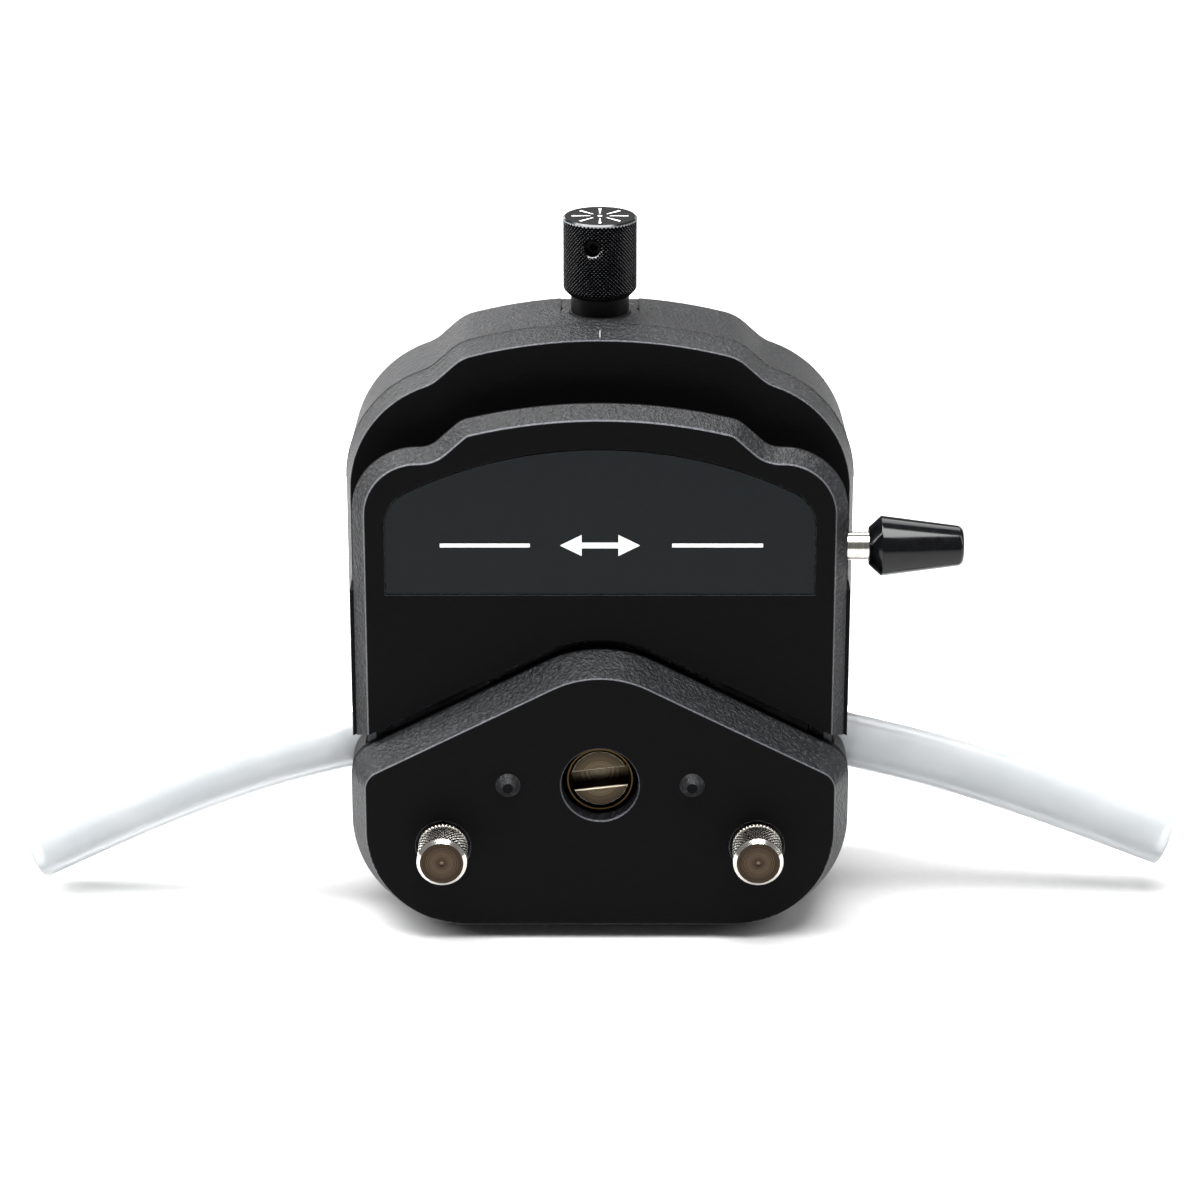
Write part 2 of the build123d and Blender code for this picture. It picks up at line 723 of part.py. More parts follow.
def back_outline(clearance):
    inner = offset(housing_outline(), -wall + 1 - clearance)
    inner &= box_outline(housing_half, back_cover_bottom + clearance, back_cover_top - clearance)
    return inner - roof_outline(jaw_gap + wall + clearance, 1.5 * body_half, -body_bottom)


def back_cover():
    body = layer(back_outline(back_play), -back_cover_thick, 0)
    for side in (-1, 1):
        for x, z in back_screw_places:
            body -= disc(side * x, z, small_clear_r, -back_cover_thick, 0)
            body -= disc(side * x, z, small_head_r + hole_clearance, small_seat_y, 0)
    return body


def back_cover_screws():
    screws = []
    for x, z in back_screw_places:
        shank = disc(x, z, small_screw_r, -back_cover_thick - small_hold, small_seat_y)
        screws += both_sides(shank + disc(x, z, small_head_r, small_seat_y, small_seat_y + small_head_h))
    return screws


def jaw_screws():
    screws = []
    head_y = chamber_rear_y + screw_sink
    for x, z in jaw_screw_places:
        shank = disc(x, z, screw_r, plate_rear_y - plate_hold, head_y)
        screws += both_sides(shank + disc(x, z, screw_head_r, head_y, head_y + screw_head_h))
    return screws


def jaw_front_plate():
    outline = plate_outline()
    body = layer(outline, plate_front_y, plate_rear_y)
    front = body.faces().sort_by(Axis.Y)[0]
    edges = [e for e in front.edges() if e.center().Z > 0.1]
    body = chamfer(edges, length=plate_inset, length2=plate_draft_depth, reference=front)
    front = body.faces().sort_by(Axis.Y)[0]
    body = fillet([e for e in front.edges() if e.center().Z > 0.1], edge_r)
    body -= layer(roof_outline(jaw_gap, 1.5 * body_half, -body_bottom), plate_front_y, plate_rear_y)
    recess = label_outline(label_margin)
    body -= layer(recess, plate_front_y, plate_front_y + label_recess)
    body -= disc(0, lever_z, lever_bush_r, plate_front_y + label_recess, plate_rear_y)
    for side in (-1, 1):
        for x, z in jaw_screw_places:
            body -= disc(side * x, z, screw_r, plate_rear_y - plate_hold - 0.1, plate_rear_y)
    return body


def label_outline(margin):
    """Flat bottom, upright sides and one shallow arc on top, with rounded shoulders."""
    arc_r = label_arc_r + margin
    panel = box_outline(label_half + margin, label_bottom - margin, label_top + margin)
    panel &= Pos(0, label_top - label_arc_r) * Circle(arc_r)
    return fillet(panel.vertices().sort_by(Axis.Y)[-2:], label_corner_r + margin)


def label_plate():
    back_y = plate_front_y + label_recess
    return layer(label_outline(0), back_y - label_thick, back_y)


def guide_bushes():
    bushes = []
    lower_z = post_bottom_z + post_depth + guide_bush_setback
    for z in (lower_z, upper_bush_top - guide_bush_length):
        tube = Circle(guide_bush_r) - Circle(post_r + running_clearance)
        bushes += both_sides(Pos(post_x, -post_y, z) * extrude(tube, guide_bush_length))
    return bushes


def lever_bushes():
    bore = lever_shaft_r + running_clearance
    front = ring(0, lever_z, lever_bush_r, bore, plate_front_y + label_recess, plate_rear_y)
    rear = ring(0, lever_z, lever_bush_r, bore, housing_front_y, lever_bush_rear_y)
    return [front, rear]


def lever_shaft():
    hub_front = plate_rear_y + side_clearance
    hub_rear = housing_front_y - side_clearance
    front_end = plate_front_y + label_recess + running_clearance
    body = disc(0, lever_z, lever_shaft_r, front_end, cam_rear_y - cam_head_h)
    body += disc(0, lever_z, lever_hub_r, hub_front, hub_rear)
    bore = Rot(0, 90, 0) * Cylinder(lever_rod_r, lever_hub_r)
    body -= Pos(lever_rod_seat + lever_hub_r / 2, rod_y, lever_z) * bore
    return body - disc(0, lever_z, small_screw_r, cam_rear_y - cam_hold - blind_play, cam_rear_y)


def along_x(profile):
    """Turns a half profile (distance along X, radius) about the lever rod's axis."""
    return Pos(0, rod_y, lever_z) * revolve(make_face(profile), Axis.X)


def lever_rod():
    x0, x1 = lever_rod_seat, handle_start + handle_bore_depth
    return along_x(Polyline((x0, 0), (x0, lever_rod_r), (x1, lever_rod_r), (x1, 0), close=True))


def lever_handle():
    x0, x1 = handle_start, handle_start + handle_length
    cone_x = x0 + handle_cone
    profile = Polyline(
        (x0, lever_rod_r),
        (x0, handle_end_r),
        (cone_x, handle_max_r),
        (x1, handle_tip_r),
        (x1, 0),
        (x0 + handle_bore_depth, 0),
        (x0 + handle_bore_depth, lever_rod_r),
        close=True,
    )
    body = along_x(profile)
    rim = body.edges().filter_by(GeomType.CIRCLE).sort_by(Axis.X)[-1]
    return fillet(rim, handle_edge_r)


def spiral_point(turn, shift):
    """Point of the cam groove at a turn of the lever; the shift moves it square to the groove."""
    fall = jaw_lift / pi
    a = radians(turn)
    r = cam_groove_start - fall * a
    along = Vector(r * cos(a) - fall * sin(a), -r * sin(a) - fall * cos(a)).normalized()
    return r * sin(a) - shift * along.Y, r * cos(a) + shift * along.X


def cam_groove():
    """Even spiral about the lever's axis; the follower pin comes nearer as the lever turns."""
    turns = [180 * k / 10 for k in range(11)]
    half = follower_r + follower_clearance
    outer = Spline(*[spiral_point(turn, half) for turn in turns])
    inner = Spline(*[spiral_point(turn, -half) for turn in turns])
    groove = make_face([outer, inner, Line(outer @ 0, inner @ 0), Line(outer @ 1, inner @ 1)])
    for turn in (0, 180):
        groove += Pos(*spiral_point(turn, 0)) * Circle(half)
    return groove


def lever_cam():
    body = disc(0, 0, cam_r, cam_front_y, cam_rear_y)
    body -= layer(cam_groove(), cam_rear_y - cam_groove_depth, cam_rear_y)
    body -= disc(0, 0, lever_shaft_r, cam_front_y, cam_rear_y - cam_head_h)
    body -= disc(0, 0, small_head_r, cam_rear_y - cam_head_h, cam_rear_y)
    return Pos(0, 0, lever_z) * body


def cam_screw():
    head = disc(0, lever_z, small_head_r, cam_rear_y - cam_head_h, cam_rear_y)
    return head + disc(0, lever_z, small_screw_r, cam_rear_y - cam_hold, cam_rear_y - cam_head_h)


def adjust_knob():
    body = rod_up(0, -spindle_y, knob_r, knob_bottom - knob_chamfer, knob_top)
    edges = body.edges().filter_by(GeomType.CIRCLE).sort_by(Axis.Z)
    body = chamfer(edges[-1], knob_top_chamfer)
    low = body.edges().filter_by(GeomType.CIRCLE).sort_by(Axis.Z)[0]
    base = body.faces().sort_by(Axis.Z)[0]
    body = chamfer(low, length=knob_r - neck_r, length2=knob_chamfer, reference=base)
    body += rod_up(0, -spindle_y, neck_r, neck_bottom, knob_bottom - knob_chamfer)
    body -= rod_up(0, -spindle_y, spindle_tail_r, neck_bottom, set_screw_z + 1)
    return body - set_screw_line(set_screw_hole_r, 0, 2 * knob_r)


def set_screw_line(r, start, length):
    """Cylinder across the knob, square to its axis, towards the front and a little to the left."""
    pin = Pos(0, -start - length / 2, 0) * Rot(90, 0, 0) * Cylinder(r, length)
    return Pos(0, -spindle_y, set_screw_z) * Rot(0, 0, set_screw_turn) * pin


def knob_set_screw():
    screw = set_screw_line(set_screw_hole_r, set_screw_seat, set_screw_length)
    socket_start = set_screw_seat + set_screw_length / 2
    return screw - set_screw_line(set_screw_socket, socket_start, set_screw_length)


def adjust_spindle():
    body = rod_up(0, -spindle_y, spindle_r, spindle_bottom, neck_bottom)
    body += rod_up(0, -spindle_y, spindle_tail_r, neck_bottom, set_screw_z + 1)
    return body - set_screw_line(set_screw_hole_r, set_screw_seat, 1)


def spindle_clip():
    clip = Circle(spindle_r + 2 * clip_thick) - Circle(spindle_r)
    return Pos(0, -spindle_y, boss_bottom - washer_play - clip_thick) * extrude(clip, clip_thick)


def spindle_bush():
    sleeve = Circle(spindle_bush_r) - Circle(spindle_r + running_clearance)
    return Pos(0, -spindle_y, boss_bottom) * extrude(sleeve, bush_top_z - boss_bottom)


def spindle_washer():
    sleeve = Circle(neck_r + 0.25) - Circle(spindle_r + running_clearance)
    return Pos(0, -spindle_y, bush_top_z) * extrude(sleeve, washer_thick)


def occlusion_bed():
    body = layer(box_outline(bed_half, 0, bed_top), bed_front_y, bed_rear_y)
    reach = 2 * bed_half
    wedge = make_face(
        Polyline(
            (0, 0),
            (reach, reach / tan(radians(bed_angle))),
            (reach, 2 * reach),
            (-reach, 2 * reach),
            (-reach, reach / tan(radians(bed_angle))),
            close=True,
        )
    )
    body &= layer(wedge, bed_front_y, bed_rear_y)
    body -= disc(0, 0, bed_r, bed_front_y, bed_rear_y)
    for x, y in bed_screw_places():
        body -= rod_up(x, y, small_screw_r, bed_top - bed_hold - 0.2, bed_top)
    return body


def bed_screw_places():
    rows = (tube_y - bed_screw_front, tube_y + bed_screw_rear)
    return [(side * bed_screw_x, y) for side in (-1, 1) for y in rows]


def bed_screws():
    top = bed_top + yoke_foot_thick
    screws = []
    for x, y in bed_screw_places():
        shank = rod_up(x, y, small_screw_r, bed_top - bed_hold, top)
        screws.append(shank + rod_up(x, y, small_head_r, top - small_head_h, top))
    return screws


def bed_yoke():
    """Carries the bed: a foot on it, a web that straddles the lever's shaft, and a flange for the nut."""
    flange_top = yoke_flange_z + yoke_flange_thick
    foot_top = bed_top + yoke_foot_thick
    body = block(-yoke_half, yoke_half, tube_y - yoke_reach, yoke_rear_y, bed_top, foot_top)
    body += block(-yoke_half, yoke_half, yoke_front_y, yoke_rear_y, bed_top, flange_top)
    flange_rear_y = -spindle_y + nut_r + 1
    body += block(-yoke_half, yoke_half, yoke_front_y, flange_rear_y, yoke_flange_z, flange_top)
    travel = spindle_pitch
    window_r = lever_shaft_r + window_clearance
    window = Pos(0, lever_z) * Circle(window_r) + Pos(0, lever_z - travel) * Circle(window_r)
    window += Pos(0, lever_z - travel / 2) * Rectangle(2 * window_r, travel)
    body -= layer(window, yoke_front_y, yoke_rear_y)
    body -= rod_up(0, -spindle_y, nut_r, yoke_flange_z, flange_top)
    for x, y in bed_screw_places():
        body -= rod_up(x, y, small_screw_r, bed_top, foot_top)
        body -= rod_up(x, y, small_head_r, foot_top - small_head_h, foot_top)
    return body


def adjust_nut():
    sleeve = Circle(nut_r) - Circle(spindle_r + running_clearance)
    return Pos(0, -spindle_y, yoke_flange_z) * extrude(sleeve, yoke_flange_thick)


def thumb_screw(side):
    x = side * thumb_x
    seat_y = front_y + thumb_counterbore_depth
    head = disc(x, thumb_z, thumb_head_r, front_y - thumb_head_out, seat_y)
    head = chamfer(head.edges().sort_by(Axis.Y)[0], thumb_head_chamfer)
    thread = disc(x, thumb_z, thumb_thread_r, 0, thumb_reach)
    thread = chamfer(thread.edges().sort_by(Axis.Y)[-1], thumb_end_chamfer)
    return head + disc(x, thumb_z, thumb_shank_r, seat_y, 0) + thread


def tube_section(s):
    """Outline and bore of the tube at a length s after the squeezed arc; its girth stays the same."""
    x, z, slope = tube_station(s)
    opened = min(1.0, s / (opening_share * tube_od))
    share = opened**2 * (3 - 2 * opened)
    thick = squeezed_thick + (tube_od - squeezed_thick) * share
    width = sqrt(2 * tube_od**2 - thick**2)
    bore = max(thick - 2 * tube_wall, bore_slit)
    plane = Plane(origin=(x, tube_y, z), x_dir=(0, 1, 0), z_dir=(cos(slope), 0, -sin(slope)))
    return plane * Ellipse(width / 2, thick / 2), plane * Ellipse(width / 2 - tube_wall, bore / 2)


def tube_inner():
    """Tube inside the closed head: squeezed under the rollers, round again at the side walls."""
    start_x, start_z, bend, straight = tube_route()
    length = bend * radians(wrap_half_angle - exit_angle) + straight
    opening = opening_share * tube_od
    stations = [opening * k / 5 for k in range(6)]
    stations += [opening + (length - opening) * k / 5 for k in range(1, 6)]
    sections = [tube_section(s) for s in stations]
    side = loft([outline for outline, bore in sections]) - loft([bore for outline, bore in sections])
    arch = revolve(sections[0][0] - sections[0][1], Axis.Y, revolution_arc=2 * wrap_half_angle)
    arch = Rot(0, -2 * wrap_half_angle, 0) * arch
    return arch + side + mirror(side, Plane.YZ)


def free_tube(side, drops):
    """Free end of the tube; the drops are its heights below the side wall at even steps of X."""
    levels = [0, free_step * tan(radians(exit_angle))] + drops
    points = [(side * (exit_x + k * free_step), tube_y, -drop) for k, drop in enumerate(levels)]
    turns = []
    for a, b, c in zip(points, points[1:], points[2:]):
        u, v = Vector(b) - Vector(a), Vector(c) - Vector(b)
        half = radians(u.get_angle(v)) / 2
        turns.append(0.45 * min(u.length, v.length) / tan(half))
    path = FilletPolyline(*points, radius=turns)
    plane = Plane(origin=points[0], z_dir=Vector(points[1]) - Vector(points[0]))
    section = plane * (Circle(tube_od / 2) - Circle(tube_id / 2))
    tube = sweep(section, path=path)
    print("tube", side, "length", round(path.length, 2), "radii", [round(r, 1) for r in turns],
          "volume over section x length", round(tube.volume / (section.area * path.length), 4))
    return tube


tube_left_drops = [6.4, 10.7, 15.6, 21.0, 26.5]
tube_right_drops = [6.1, 10.0, 14.2, 18.7, 23.3]

pieces = {
    "base_housing": base_housing,
    "front_cover": front_cover,
    "front_bush": front_bush,
    "rear_bearing_outer": rear_bearing_outer,
    "rear_bearing_inner": rear_bearing_inner,
    "rear_bearing_balls": rear_bearing_balls,
    "rear_seal": rear_seal,
    "rotor_shaft": rotor_shaft,
    "rotor_flange_front": rotor_flange_front,
    "rotor_flange_rear": rotor_flange_rear,
    "rotor_spacer": rotor_spacer,
    "roller_axles": roller_axles,
    "axle_clips": axle_clips,
    "guide_posts": guide_posts,
    "lift_crosshead": lift_crosshead,
    "crosshead_nuts": crosshead_nuts,
    "follower_pin": follower_pin,
    "lower_tube_clamps": lower_tube_clamps,
    "upper_tube_clamps": upper_tube_clamps,
    "cover_screws": cover_screws,
    "jaw_housing": jaw_housing,
    "back_cover": back_cover,
    "back_cover_screws": back_cover_screws,
    "jaw_screws": jaw_screws,
    "jaw_front_plate": jaw_front_plate,
    "label_plate": label_plate,
    "guide_bushes": guide_bushes,
    "lever_bushes": lever_bushes,
    "lever_shaft": lever_shaft,
    "lever_rod": lever_rod,
    "lever_handle": lever_handle,
    "lever_cam": lever_cam,
    "cam_screw": cam_screw,
    "adjust_knob": adjust_knob,
    "knob_set_screw": knob_set_screw,
    "adjust_spindle": adjust_spindle,
    "spindle_clip": spindle_clip,
    "spindle_bush": spindle_bush,
    "spindle_washer": spindle_washer,
    "occlusion_bed": occlusion_bed,
    "bed_screws": bed_screws,
    "bed_yoke": bed_yoke,
    "adjust_nut": adjust_nut,
    "thumb_screw_left": lambda: thumb_screw(-1),
    "thumb_screw_right": lambda: thumb_screw(1),
    "tube_inner": tube_inner,
    "tube_left": lambda: free_tube(-1, tube_left_drops),
    "tube_right": lambda: free_tube(1, tube_right_drops),
}
for number, place in enumerate(roller_places(), start=1):
    pieces[f"roller_{number}"] = lambda place=place: roller(place)
    pieces[f"roller_bushes_{number}"] = lambda place=place: roller_bushes(place)

os.makedirs("parts", exist_ok=True)
for name, make in pieces.items():
    shape = make()
    if isinstance(shape, list):
        shape = Compound(children=shape)
    export_step(shape, f"parts/{name}.step")
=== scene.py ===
import bmesh
import bpy
import math
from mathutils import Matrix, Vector


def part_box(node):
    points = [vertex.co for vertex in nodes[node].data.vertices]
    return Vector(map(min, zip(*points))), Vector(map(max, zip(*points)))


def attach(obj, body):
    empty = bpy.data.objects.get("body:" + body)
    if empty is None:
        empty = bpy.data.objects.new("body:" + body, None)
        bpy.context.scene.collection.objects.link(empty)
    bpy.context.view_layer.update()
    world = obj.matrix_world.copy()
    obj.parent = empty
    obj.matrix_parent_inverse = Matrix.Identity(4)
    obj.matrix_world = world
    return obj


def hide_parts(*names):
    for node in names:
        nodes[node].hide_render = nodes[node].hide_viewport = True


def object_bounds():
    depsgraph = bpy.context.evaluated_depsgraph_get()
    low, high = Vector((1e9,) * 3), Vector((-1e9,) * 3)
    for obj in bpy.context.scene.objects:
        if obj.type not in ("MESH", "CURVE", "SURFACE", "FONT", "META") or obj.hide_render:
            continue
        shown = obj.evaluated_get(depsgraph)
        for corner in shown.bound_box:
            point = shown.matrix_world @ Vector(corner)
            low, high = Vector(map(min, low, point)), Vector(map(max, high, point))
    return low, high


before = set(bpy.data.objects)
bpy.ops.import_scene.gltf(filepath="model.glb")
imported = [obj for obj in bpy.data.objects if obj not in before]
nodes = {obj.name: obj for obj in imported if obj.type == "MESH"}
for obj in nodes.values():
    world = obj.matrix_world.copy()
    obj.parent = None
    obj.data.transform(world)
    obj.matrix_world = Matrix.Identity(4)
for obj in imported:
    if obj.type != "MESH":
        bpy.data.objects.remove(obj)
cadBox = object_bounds()
scene = bpy.context.scene
mm = 0.001
print("frame loaded:", len(nodes), "nodes")

cameraSet = {"place": (0.0, -0.80954, 0.32691), "tilt": 69.4, "lens": 118.5, "sensor": 36.0}


def addCamera():
    data = bpy.data.cameras.new("camera")
    data.lens = cameraSet["lens"]
    data.sensor_width = cameraSet["sensor"]
    data.clip_start = 0.01
    camera = bpy.data.objects.new("camera", data)
    camera.location = cameraSet["place"]
    camera.rotation_euler = (math.radians(cameraSet["tilt"]), 0, 0)
    scene.collection.objects.link(camera)
    scene.camera = camera


addCamera()

lightSet = {
    # name: place, aim, width and height in metres, watts, colour
    "softboxTop": ((-0.08, -0.17, 0.82), (0, -0.02, 0.04), (0.95, 0.5), 23.0, "FFFFFF"),
    "stripLeft": ((-0.60, 0.05, 0.42), (0, 0, 0.05), (0.22, 0.6), 7.0, "FFFFFF"),
    "stripRight": ((0.66, -0.05, 0.36), (0, 0, 0.04), (0.18, 0.6), 2.0, "FFFFFF"),
    "backWash": ((0.0, 0.95, 1.0), (0, 0.75, -0.04), (1.6, 0.8), 16.0, "FFFFFF"),
    "rimLeft": ((-0.42, 1.05, 0.26), (0, 0, 0.07), (0.5, 0.3), 1.6, "FFFFFF"),
    "rimRight": ((0.50, 1.00, 0.24), (0, 0, 0.07), (0.4, 0.3), 0.5, "FFFFFF"),
}


def colour(code, alpha=1.0):
    # sRGB hex to linear
    channels = [int(code[i:i + 2], 16) / 255 for i in (0, 2, 4)]
    return (*[c / 12.92 if c <= 0.04045 else ((c + 0.055) / 1.055) ** 2.4 for c in channels], alpha)


def addLights():
    for name, (place, aim, size, watts, code) in lightSet.items():
        data = bpy.data.lights.new(name, "AREA")
        data.shape = "RECTANGLE"
        data.size, data.size_y = size
        data.energy = watts
        data.color = colour(code)[:3]
        lamp = bpy.data.objects.new(name, data)
        lamp.location = place
        lamp.visible_camera = False
        lamp.rotation_euler = (Vector(aim) - Vector(place)).to_track_quat("-Z", "Y").to_euler()
        scene.collection.objects.link(lamp)


addLights()


def addNode(tree, kind, settings=None, inputs=None, stops=None):
    # one node, with its settings, its values, links from other nodes' sockets, and a colour ramp's stops
    node = tree.nodes.new(kind)
    for key, value in (settings or {}).items():
        setattr(node, key, value)
    for key, value in (inputs or {}).items():
        if isinstance(value, bpy.types.NodeSocket):
            tree.links.new(value, node.inputs[key])
        else:
            node.inputs[key].default_value = value
    for index, (at, value) in enumerate(stops or []):
        points = node.color_ramp.elements
        point = points[index] if index < 2 else points.new(at)
        point.position = at
        point.color = value if isinstance(value, tuple) else (value, value, value, 1)
    return node


def newMaterial(name):
    material = bpy.data.materials.new(name)
    material.use_nodes = True
    tree = material.node_tree
    shader = tree.nodes["Principled BSDF"]
    place = addNode(tree, "ShaderNodeTexCoord").outputs["Object"]
    return material, tree, shader, place


# Glass-filled nylon, moulded: the fronts are flat and near black, the drafted edges carry the mould's
# wrinkled spark grain and catch the light, and the rim between the two is smoother, and painted lighter as a
# painted highlight along the edges. Real spark grain is about 0.1 mm, and it's drawn coarser here, so that it
# shows from where the camera stands.
nylonSet = {
    "front": "060607",
    "frontSpeck": "0D0D0E",
    "grain": "17181A",
    "grainLight": "3A3B3F",
    "grainDark": "060607",
    # the rim's lighter colour is a painted highlight along the edges
    "rim": "4A4B4F",
    "coneZone": (-1.76, -0.06, 0.04),  # from, to and softness, in millimetres behind the front face
    "rimHighlightZone": (0.02, 0.42, 0.08),
    "edgeStart": 0.05,
    "edgeSoft": 0.08,
    "cloudMm": 8.0,
    "wrinkleMm": 2.4,
    "wrinkleShare": 0.55,
    "grainMm": 0.75,
    "speckMm": 0.35,
    "frontRoughness": 0.55,
    "grainRoughness": 0.42,
    "rimRoughness": 0.28,
    "reliefMm": 0.42,
    "frontRelief": 0.05,
    "frontSpecular": 0.05,
    "grainSpecular": 0.25,
}


def mouldedNylon(name, frontY, grainDepth, grain=1.0, gloss=1.0):
    material, tree, shader, place = newMaterial(name)
    depth = addNode(tree, "ShaderNodeSeparateXYZ", {}, {"Vector": place}).outputs["Y"]
    # distance behind the front face, in millimetres
    behind = addNode(tree, "ShaderNodeMath", {"operation": "MULTIPLY_ADD"},
                     {0: depth, 1: 1 / mm, 2: -frontY}).outputs[0]

    def zone(start, end, soft):
        begin = addNode(tree, "ShaderNodeMapRange", {},
                        {"Value": behind, "From Min": start, "From Max": start + soft})
        finish = addNode(tree, "ShaderNodeMapRange", {},
                         {"Value": behind, "From Min": end - soft, "From Max": end, "To Min": 1.0, "To Max": 0.0})
        return addNode(tree, "ShaderNodeMath", {"operation": "MULTIPLY"},
                       {0: begin.outputs[0], 1: finish.outputs[0]}).outputs[0]

    # the locating cones stand in front of the face, and are grained up to their tips
    cones = zone(*nylonSet["coneZone"])
    edges = zone(nylonSet["edgeStart"], grainDepth, nylonSet["edgeSoft"])
    grained = addNode(tree, "ShaderNodeMath", {"operation": "MAXIMUM"}, {0: cones, 1: edges}).outputs[0]
    rim = zone(*nylonSet["rimHighlightZone"])
    wrinkle = addNode(tree, "ShaderNodeTexNoise", {"noise_type": "RIDGED_MULTIFRACTAL", "normalize": True},
                      {"Vector": place, "Scale": 1 / (nylonSet["wrinkleMm"] * mm), "Detail": 3.0,
                       "Roughness": 0.7})
    fine = addNode(tree, "ShaderNodeTexNoise", {},
                   {"Vector": place, "Scale": 1 / (nylonSet["grainMm"] * mm), "Detail": 3.0, "Roughness": 0.6})
    speck = addNode(tree, "ShaderNodeTexVoronoi", {},
                    {"Vector": place, "Scale": 1 / (nylonSet["speckMm"] * mm)})
    cloud = addNode(tree, "ShaderNodeTexNoise", {},
                    {"Vector": place, "Scale": 1 / (nylonSet["cloudMm"] * mm), "Detail": 2.0})
    tone = addNode(tree, "ShaderNodeValToRGB", {}, {"Fac": fine.outputs["Fac"]},
                   [(0.34, colour(nylonSet["grainDark"])), (0.56, colour(nylonSet["grain"])),
                    (0.74, colour(nylonSet["grainLight"]))]).outputs["Color"]
    shade = addNode(tree, "ShaderNodeValToRGB", {}, {"Fac": cloud.outputs["Fac"]}, [(0.3, 0.55), (0.7, 1.0)])
    tone = addNode(tree, "ShaderNodeMix", {"data_type": "RGBA", "blend_type": "MULTIPLY"},
                   {0: 0.6, 6: tone, 7: shade.outputs["Color"]}).outputs[2]
    plain = addNode(tree, "ShaderNodeValToRGB", {}, {"Fac": speck.outputs["Distance"]},
                    [(0.0, colour(nylonSet["frontSpeck"])), (0.2, colour(nylonSet["front"]))]).outputs["Color"]
    tone = addNode(tree, "ShaderNodeMix", {"data_type": "RGBA"}, {0: grained, 6: plain, 7: tone}).outputs[2]
    # the rim is painted lighter: a painted highlight along the edges
    tone = addNode(tree, "ShaderNodeMix", {"data_type": "RGBA"}, {0: rim, 6: tone, 7: colour(nylonSet["rim"])})
    tree.links.new(tone.outputs[2], shader.inputs["Base Color"])
    rough = addNode(tree, "ShaderNodeMix", {"data_type": "FLOAT"},
                    {0: grained, 2: nylonSet["frontRoughness"], 3: nylonSet["grainRoughness"]})
    rough = addNode(tree, "ShaderNodeMix", {"data_type": "FLOAT"},
                    {0: rim, 2: rough.outputs[0], 3: nylonSet["rimRoughness"]})
    tree.links.new(rough.outputs[0], shader.inputs["Roughness"])
    sheen = addNode(tree, "ShaderNodeMapRange", {},
                    {"Value": grained, "To Min": nylonSet["frontSpecular"],
                     "To Max": nylonSet["grainSpecular"] * gloss})
    tree.links.new(sheen.outputs[0], shader.inputs["Specular IOR Level"])
    height = addNode(tree, "ShaderNodeMath", {"operation": "MULTIPLY_ADD"},
                     {0: wrinkle.outputs["Fac"], 1: nylonSet["wrinkleShare"], 2: fine.outputs["Fac"]})
    strength = addNode(tree, "ShaderNodeMapRange", {}, {"Value": grained, "To Min": nylonSet["frontRelief"]})
    bump = addNode(tree, "ShaderNodeBump", {},
                   {"Strength": strength.outputs[0], "Distance": nylonSet["reliefMm"] * grain * mm,
                    "Height": height.outputs[0]})
    tree.links.new(bump.outputs["Normal"], shader.inputs["Normal"])
    return material


# Painted aluminium sheet, sprayed and baked: an even blue-grey with a faint orange peel.
panelSet = {"paint": "0E1315", "shade": "0B0F11", "peelMm": 0.9, "fineMm": 0.25, "roughness": 0.5,
            "specular": 0.14}


def bakedPanelPaint():
    material, tree, shader, place = newMaterial("bakedPanelPaint")
    peel = addNode(tree, "ShaderNodeTexNoise", {},
                   {"Vector": place, "Scale": 1 / (panelSet["peelMm"] * mm), "Detail": 1.0})
    fine = addNode(tree, "ShaderNodeTexNoise", {},
                   {"Vector": place, "Scale": 1 / (panelSet["fineMm"] * mm), "Detail": 3.0})
    tone = addNode(tree, "ShaderNodeValToRGB", {}, {"Fac": fine.outputs["Fac"]},
                   [(0.3, colour(panelSet["shade"])), (0.7, colour(panelSet["paint"]))]).outputs["Color"]
    tree.links.new(tone, shader.inputs["Base Color"])
    shader.inputs["Roughness"].default_value = panelSet["roughness"]
    shader.inputs["Specular IOR Level"].default_value = panelSet["specular"]
    bump = addNode(tree, "ShaderNodeBump", {},
                   {"Strength": 0.15, "Distance": 0.02 * mm, "Height": peel.outputs["Fac"]})
    tree.links.new(bump.outputs["Normal"], shader.inputs["Normal"])
    return material


# Screen ink, one thick coat: matt, with a faint mesh in it, drawn coarser than the screen's threads.
inkSet = {"white": "F2F3F1", "meshMm": 0.2, "roughness": 0.6, "thin": 0.85}


def screenInk(name, code=inkSet["white"]):
    material, tree, shader, place = newMaterial(name)
    mesh = addNode(tree, "ShaderNodeTexNoise", {},
                   {"Vector": place, "Scale": 1 / (inkSet["meshMm"] * mm), "Detail": 2.0})
    thin = (*[inkSet["thin"] * c for c in colour(code)[:3]], 1)
    tone = addNode(tree, "ShaderNodeValToRGB", {}, {"Fac": mesh.outputs["Fac"]},
                   [(0.25, thin), (0.6, colour(code))]).outputs["Color"]
    tree.links.new(tone, shader.inputs["Base Color"])
    shader.inputs["Roughness"].default_value = inkSet["roughness"]
    bump = addNode(tree, "ShaderNodeBump", {},
                   {"Strength": 0.1, "Distance": 0.01 * mm, "Height": mesh.outputs["Fac"]})
    tree.links.new(bump.outputs["Normal"], shader.inputs["Normal"])
    return material


# Steel and bronze, turned on a lathe: fine rings round the axis that spread the highlight across them.
# Real turned lines are under 0.1 mm apart, and these are drawn coarser, so that they show. Bands tint the
# metal by its distance from the axis, and an edge is a painted highlight: a bright strip just behind an end face.
turnedSet = {"code": "C9C7C2", "dark": "A09C95", "ringMm": 0.35, "roughness": 0.24, "relief": 0.3,
             "edgeMetal": 0.45}


